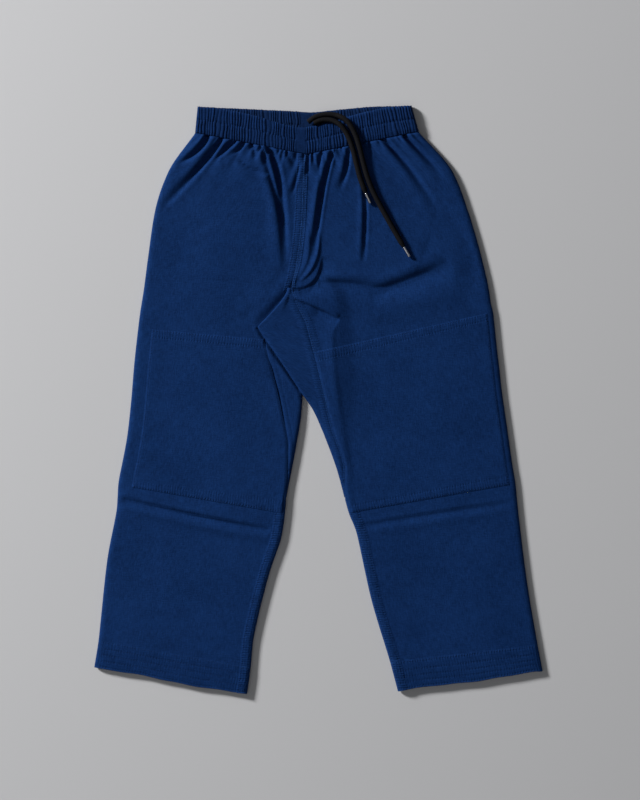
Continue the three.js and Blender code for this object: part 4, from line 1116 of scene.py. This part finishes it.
@dataclass
class Waistband:
    """Gathered elastic waistband: a back band and two front halves."""

    right: Leg
    left: Leg
    samples: int = 7
    pitch: float = 3.5

    def edge(self, line: list, x: np.ndarray) -> np.ndarray:
        """Height of an edge across the waist, rounded at its corners."""
        xs, ys = np.array(line).T
        dense = np.linspace(xs[0], xs[-1], 400)
        flat = np.interp(dense, xs, ys)
        kernel = np.hanning(31) / np.hanning(31).sum()
        soft = np.convolve(np.pad(flat, 15, mode="edge"), kernel, mode="valid")
        return np.interp(x, dense, soft)

    def ribs(self, u: np.ndarray, share: np.ndarray) -> np.ndarray:
        """Ribs of the gathered cloth, from 0 to 1, shifting a little at the middle of the band."""
        half = np.where(share < 0.5, 1.0, -1.0) * smooth(np.abs(share - 0.5) / 0.06)
        drift = 0.34 * np.sin(u / 9.1) + 0.22 * np.sin(u / 3.7 + 2.0 * np.sin(u / 17.0))
        phase = u / self.pitch + drift + 0.16 * half * np.sin(u / 5.3) + 0.10 * np.sin(9 * share + u / 6.1)
        crest = np.abs(np.cos(math.pi * phase))
        uneven = 0.72 + 0.28 * np.sin(u / 4.7 + 2.2 * np.sin(u / 3.3) + 4.0 * half * np.sin(u / 21.0))
        return crest ** 0.8 * uneven

    def profile(self, share: np.ndarray) -> np.ndarray:
        """How full the band is across its width."""
        upper = 0.45 + 0.55 * quarter(1 - np.clip(share / 0.12, 0, 1))
        lower = 0.62 + 0.38 * quarter(1 - np.clip((1 - share) / 0.16, 0, 1))
        return np.minimum(upper, lower)

    def body(self, name: str, face: np.ndarray, base: np.ndarray, uv: np.ndarray, wear: np.ndarray,
             reverse: bool) -> bpy.types.Object:
        """Closed band from its ribbed face and the heights of its plain one."""
        rim = np.concatenate([face[:1], face, face[-1:]], axis=0)
        rim[0, :, 2] = base[0]
        rim[-1, :, 2] = base[-1]
        full = np.concatenate([rim[:, :1], rim, rim[:, -1:]], axis=1)
        full[:, 0, 2] = np.r_[base[0, 0], base[:, 0], base[-1, 0]]
        full[:, -1, 2] = np.r_[base[0, -1], base[:, -1], base[-1, -1]]
        pad = ((1, 1), (1, 1), (0, 0))
        marks = {"wear": np.pad(wear, pad[:2], mode="edge")}
        piece = Cloth.mesh(name, full, np.pad(uv, pad, mode="edge"), marks, reverse)
        pick(piece)
        bpy.ops.object.mode_set(mode="EDIT")
        bpy.ops.mesh.select_all(action="SELECT")
        bpy.ops.mesh.region_to_loop()
        bpy.ops.mesh.edge_face_add()
        bpy.ops.mesh.select_all(action="SELECT")
        bpy.ops.mesh.quads_convert_to_tris(quad_method="BEAUTY", ngon_method="BEAUTY")
        bpy.ops.mesh.tris_convert_to_quads()
        bpy.ops.object.mode_set(mode="OBJECT")
        return piece

    def front(self, leg: Leg, upper_x: float, lower_x: float, gap: float) -> bpy.types.Object:
        """One front half of the band, from the side to the centre front."""
        centre = CENTRE_FRONT + gap
        count = int(abs(lower_x - centre) / self.pitch * self.samples)
        f = np.linspace(0, 1, count + 1)[None, :]
        share = np.linspace(0, 1, 23)[:, None]
        top_x, low_x = mix(upper_x, centre, f), mix(lower_x, centre, f)
        waist = leg.section(np.zeros(1))
        seam_y = waist["sideY"] + waist["ay"] * (low_x - waist["sideX"]) / waist["ax"] + SEAM
        x = mix(top_x, low_x, share)
        u = (low_x - lower_x) + 0 * share
        plain = smooth((np.abs(low_x - CENTRE_FRONT) - 10.5) / 2.5) if leg.mark == "R" else 1.0 + 0 * low_x
        rib = self.ribs(u, share) * plain
        scallop = 0.55 * (rib - 0.5) * bell(share, 0.1)
        y = mix(self.edge(FRONT_EDGE, top_x), seam_y, share) + scallop
        base = BAND_CLOTH + BAND_GAP + 0.8
        seam_dip = 0.8 * bell(share - 0.5, 0.03) * plain + 0.7 * bell(share - 0.93, 0.025)
        full = BAND_CLOTH - 0.3 + RIB_HEIGHT * rib - seam_dip + 0.5 * (1 - plain)
        side = quarter(np.clip((BAND_ROLL - np.abs(low_x - lower_x)) / BAND_ROLL, 0, 1))
        z = base + 0.25 + full * self.profile(share) * side
        face = np.stack([x, y, z], axis=-1)
        uv = np.stack([u * 1.35 + 500, y], axis=-1) * MM
        wear = np.clip(0.35 * rib ** 3 + 0.4 * bell(share, 0.05), 0, 1) * np.ones_like(x)
        piece = self.body(f"band_front_{leg.mark}", face, np.full_like(z, base), uv, wear, leg.outward < 0)
        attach(piece, "root")
        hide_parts(f"waistband_front_{leg.mark}")
        return piece

    def back(self) -> bpy.types.Object:
        """The back of the band, whose inner face shows at the mouth. Its material is a darker copy of the band's
        cloth: painted shade for the mouth.
        """
        width = LEFT_SIDE[1] - RIGHT_SIDE[1]
        f = np.linspace(0, 1, int(width / self.pitch * self.samples) + 1)[None, :]
        share = np.linspace(0, 1, 21)[:, None]
        top_x, low_x = mix(RIGHT_SIDE[0], LEFT_SIDE[0], f), mix(RIGHT_SIDE[1], LEFT_SIDE[1], f)
        on_right = low_x < CENTRE_BACK[0]
        side_x = np.where(on_right, RIGHT_SIDE[1], LEFT_SIDE[1])
        side_y = np.where(on_right, RIGHT_SIDE[2], LEFT_SIDE[2])
        seam_y = mix(side_y, CENTRE_BACK[1], (low_x - side_x) / (CENTRE_BACK[0] - side_x))
        plain = smooth((np.abs(top_x + 15.5) - 6.5) / 2.0)
        u = (low_x - RIGHT_SIDE[1]) + 0 * share
        rib = self.ribs(u + 2.0, share) * plain
        y = mix(self.edge(BACK_EDGE, top_x), seam_y, share) + 0.55 * (rib - 0.5) * bell(share, 0.1)
        x = mix(top_x, low_x, share)
        from_side = np.minimum(f, 1 - f) * width
        side = quarter(np.clip((BAND_ROLL - from_side) / BAND_ROLL, 0, 1))
        base = (BAND_CLOTH + 0.4) * (1 - side) + 0 * share
        full = BAND_CLOTH - 0.9 + 0.9 * RIB_HEIGHT * rib - 0.7 * bell(share - 0.5, 0.03) * plain
        z = np.maximum(full * self.profile(share), base + 0.3)
        uv = np.stack([u * 1.35 + 900, y], axis=-1) * MM
        wear = np.clip(0.3 * rib ** 3 + 0.4 * bell(share, 0.05), 0, 1) * np.ones_like(x)
        piece = self.body("band_back", np.stack([x, y, z], axis=-1), base, uv, wear, True)
        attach(piece, "root")
        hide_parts("waistband_back")
        return piece


@dataclass
class Drawcord:
    """One free end of the drawcord with its aglet."""

    name: str
    route: list
    tip: tuple[float, float, float]

    def centreline(self) -> np.ndarray:
        """Smooth line through the route, in metres."""
        raw = np.array(self.route)
        padded = np.vstack([2 * raw[0] - raw[1], raw, 2 * raw[-1] - raw[-2]])
        line = []
        for i in range(1, len(padded) - 2):
            p0, p1, p2, p3 = padded[i - 1:i + 3]
            for f in np.linspace(0, 1, 22, endpoint=False):
                line.append(0.5 * (2 * p1 + (p2 - p0) * f + (2 * p0 - 5 * p1 + 4 * p2 - p3) * f ** 2
                                   + (3 * p1 - p0 - 3 * p2 + p3) * f ** 3))
        return np.array(line + [raw[-1]])

    def cord(self) -> bpy.types.Object:
        """The braided cord: a tube whose surface has crossing strands."""
        line = self.centreline()
        run = np.r_[0, np.cumsum(np.linalg.norm(np.diff(line, axis=0), axis=1))]
        places = np.linspace(0, run[-1], int(run[-1] / 0.0006))
        path = np.stack([np.interp(places, run, line[:, k]) for k in range(3)], axis=1)
        ahead = np.gradient(path, axis=0)
        ahead /= np.linalg.norm(ahead, axis=1, keepdims=True)
        side = np.cross(ahead, (0, 0, 1.0))
        side /= np.linalg.norm(side, axis=1, keepdims=True)
        up = np.cross(side, ahead)
        sides = 28
        angle = np.linspace(0, 2 * math.pi, sides + 1)[None, :]
        along = places[:, None]
        turn = 2 * math.pi / BRAID_TURN
        strands = np.abs(np.sin(4 * angle + turn * along / 2) * np.sin(4 * angle - turn * along / 2))
        taper = 1 - 0.3 * smooth((along - places[-1] + 0.006) / 0.006)
        radius = (CORD_DIAMETER / 2) * (0.93 + 0.10 * strands) * taper
        wide, high = 1.12 * np.cos(angle)[..., None], 0.93 * np.sin(angle)[..., None]
        points = path[:, None] + radius[..., None] * (wide * side[:, None] + high * up[:, None])
        uv = np.stack([np.broadcast_to(angle / (2 * math.pi), radius.shape), np.broadcast_to(along, radius.shape)], -1)
        piece = Cloth.mesh(self.name, points / MM, uv, {}, False)
        self.close(piece)
        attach(piece, "root")
        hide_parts(self.name.replace("cord", "drawcord"))
        end = self.aglet()
        return piece

    @staticmethod
    def close(piece: bpy.types.Object) -> None:
        """Merges the tube's seam and closes its two ends."""
        pick(piece)
        bpy.ops.object.mode_set(mode="EDIT")
        bpy.ops.mesh.select_all(action="SELECT")
        bpy.ops.mesh.remove_doubles(threshold=0.00001)
        bpy.ops.mesh.select_all(action="DESELECT")
        bpy.ops.mesh.select_non_manifold()
        bpy.ops.mesh.edge_face_add()
        bpy.ops.mesh.select_all(action="SELECT")
        bpy.ops.mesh.normals_make_consistent(inside=False)
        bpy.ops.object.mode_set(mode="OBJECT")

    def aglet(self) -> bpy.types.Object:
        """The rolled metal sleeve on the cord's end, with a crimp near its mouth."""
        start, tip = Vector(self.route[-1]), Vector(self.tip)
        along = (tip - start).normalized()
        start = start + along * 0.0003
        length = (tip - start).length
        bpy.ops.object.select_all(action="DESELECT")
        bpy.ops.mesh.primitive_cylinder_add(vertices=28, radius=AGLET_DIAMETER / 2, depth=length)
        sleeve = bpy.context.object
        bpy.ops.object.mode_set(mode="EDIT")
        for share, squeeze in ((-0.30, 0.88), (-0.22, 0.88), (0.3, 1.0), (0.42, 0.93)):
            bpy.ops.mesh.select_all(action="SELECT")
            bpy.ops.mesh.bisect(plane_co=(0, 0, share * length), plane_no=(0, 0, 1))
            bpy.ops.transform.resize(value=(squeeze, squeeze, 1.0), center_override=(0, 0, share * length))
        bpy.ops.mesh.select_all(action="DESELECT")
        bpy.ops.object.mode_set(mode="OBJECT")
        bevel = sleeve.modifiers.new("soft_rims", "BEVEL")
        bevel.width = 0.00035
        bevel.segments = 3
        bevel.limit_method = "ANGLE"
        bpy.ops.object.modifier_apply(modifier=bevel.name)
        sleeve.data.shade_smooth()
        turn = Vector((0, 0, 1)).rotation_difference(along).to_matrix().to_4x4()
        sleeve.data.transform(Matrix.Translation((start + tip) / 2) @ turn)
        sleeve.name = self.name.replace("cord", "aglet") + "_sleeve"
        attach(sleeve, "root")
        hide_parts(self.name.replace("cord", "aglet"))
        return sleeve


@dataclass
class Studio:
    """Camera straight above, soft lights and a plain pale floor."""

    height: float = 2.4
    view: float = 0.96
    centre_x: float = 0.0017

    def build(self) -> None:
        """Makes the camera, then the lights and the floor."""
        camera = bpy.data.cameras.new("camera")
        camera.sensor_fit = "VERTICAL"
        camera.sensor_height = 24.0
        camera.lens = 24.0 * (self.height - 0.006) / self.view
        stand = bpy.data.objects.new("camera", camera)
        stand.location = (self.centre_x, 0.0, self.height)
        bpy.context.collection.objects.link(stand)
        bpy.context.scene.camera = stand
        self.light("key", (-3.90, 2.45, 1.95), 0.80, 400.0)
        self.light("fill", (-1.3, -1.7, 2.1), 1.6, 6.0)
        self.light("top", (0.2, -0.4, 2.6), 1.6, 4.0)
        world = bpy.data.worlds.new("studio")
        world.use_nodes = True
        world.node_tree.nodes["Background"].inputs[0].default_value = (0.82, 0.85, 0.9, 1.0)
        world.node_tree.nodes["Background"].inputs[1].default_value = 0.08
        bpy.context.scene.world = world
        bpy.context.scene.view_settings.view_transform = "Standard"
        self.floor()

    @staticmethod
    def light(name: str, place: tuple[float, float, float], size: float, power: float) -> None:
        """Adds a soft light that faces the trousers."""
        lamp = bpy.data.lights.new(name, "AREA")
        lamp.size = size
        lamp.energy = power
        holder = bpy.data.objects.new(name, lamp)
        holder.location = place
        holder.rotation_euler = Vector(place).to_track_quat("Z", "Y").to_euler()
        bpy.context.collection.objects.link(holder)

    @staticmethod
    def floor() -> None:
        """Plain pale floor."""
        bpy.ops.object.select_all(action="DESELECT")
        bpy.ops.mesh.primitive_plane_add(size=6.0, location=(0, 0, -0.0003))
        ground = bpy.context.object
        ground.name = "floor"
        shader = Shader("pale_floor")
        shader.surface.inputs["Base Color"].default_value = (0.56, 0.56, 0.57, 1.0)
        shader.surface.inputs["Roughness"].default_value = 0.9
        ground.data.materials.append(shader.material)


def dress(pieces: list, material: bpy.types.Material) -> None:
    """Gives pieces their material."""
    for piece in pieces:
        piece.data.materials.clear()
        piece.data.materials.append(material)
        LOG.info("%s: %d faces, %s", piece.name, len(piece.data.polygons), material.name)


def main() -> None:
    """Builds the camera, the cords and then the cloth, and reports each piece."""
    logging.basicConfig(level=logging.INFO, format="%(message)s")
    Studio().build()
    cords = [Drawcord("cord_long", LONG_END, LONG_TIP), Drawcord("cord_short", SHORT_END, SHORT_TIP)]
    braids = [cord.cord() for cord in cords]
    drill = DrillFinish("navy_drill", (0.0020, 0.0160, 0.070, 1), (0.0065, 0.033, 0.132, 1), (0.012, 0.050, 0.175, 1))
    # The band's colours are darker than the legs': partly the band's own cloth, partly painted shade for the darker
    # waist.
    band = DrillFinish("navy_band", (0.0013, 0.0105, 0.046, 1), (0.0046, 0.023, 0.094, 1), (0.009, 0.039, 0.138, 1))
    cloth, gathered = drill.material(), band.material()
    right = Leg("R", RIGHT_SECTIONS, RIGHT_PLACES, -1.0, PATCH_INSET, True, RIGHT_GATHERS)
    left = Leg("L", LEFT_SECTIONS, LEFT_PLACES, 1.0, SIDE_ROLL, False, LEFT_GATHERS)
    panels = []
    for leg in (right, left):
        panels += [leg.front_panel(), leg.back_panel(), leg.knee_patch(), leg.gusset()]
        panels += [leg.turned_hem(side) for side in ("front", "back")]
    waistband = Waistband(right, left)
    # Darker copy of the band's cloth for the back band: painted shade on the inner face seen at the mouth.
    inside = DrillFinish("navy_band_inside_painted_shade", (0.0018, 0.010, 0.042, 1), (0.005, 0.021, 0.078, 1),
                         (0.008, 0.03, 0.10, 1))
    bands = [waistband.front(right, *RIGHT_SIDE[:2], -SEAM / 2),
             waistband.front(left, *LEFT_SIDE[:2], SEAM / 2)]
    threads = [Stitching().sew(f"stitches_{leg.mark}", leg.stitch_rows()) for leg in (right, left)]
    dress(panels, cloth)
    dress(bands, gathered)
    dress([waistband.back()], inside.material())
    dress(threads, ThreadFinish((0.0065, 0.032, 0.125, 1)).material())
    dress(braids, BraidFinish((0.0008, 0.0008, 0.0014, 1), (0.0055, 0.0055, 0.0085, 1)).material())
    metal = MetalFinish((0.62, 0.63, 0.66, 1)).material()
    dress([bpy.data.objects[cord.name.replace("cord", "aglet") + "_sleeve"] for cord in cords], metal)


if __name__ == "__main__":
    main()
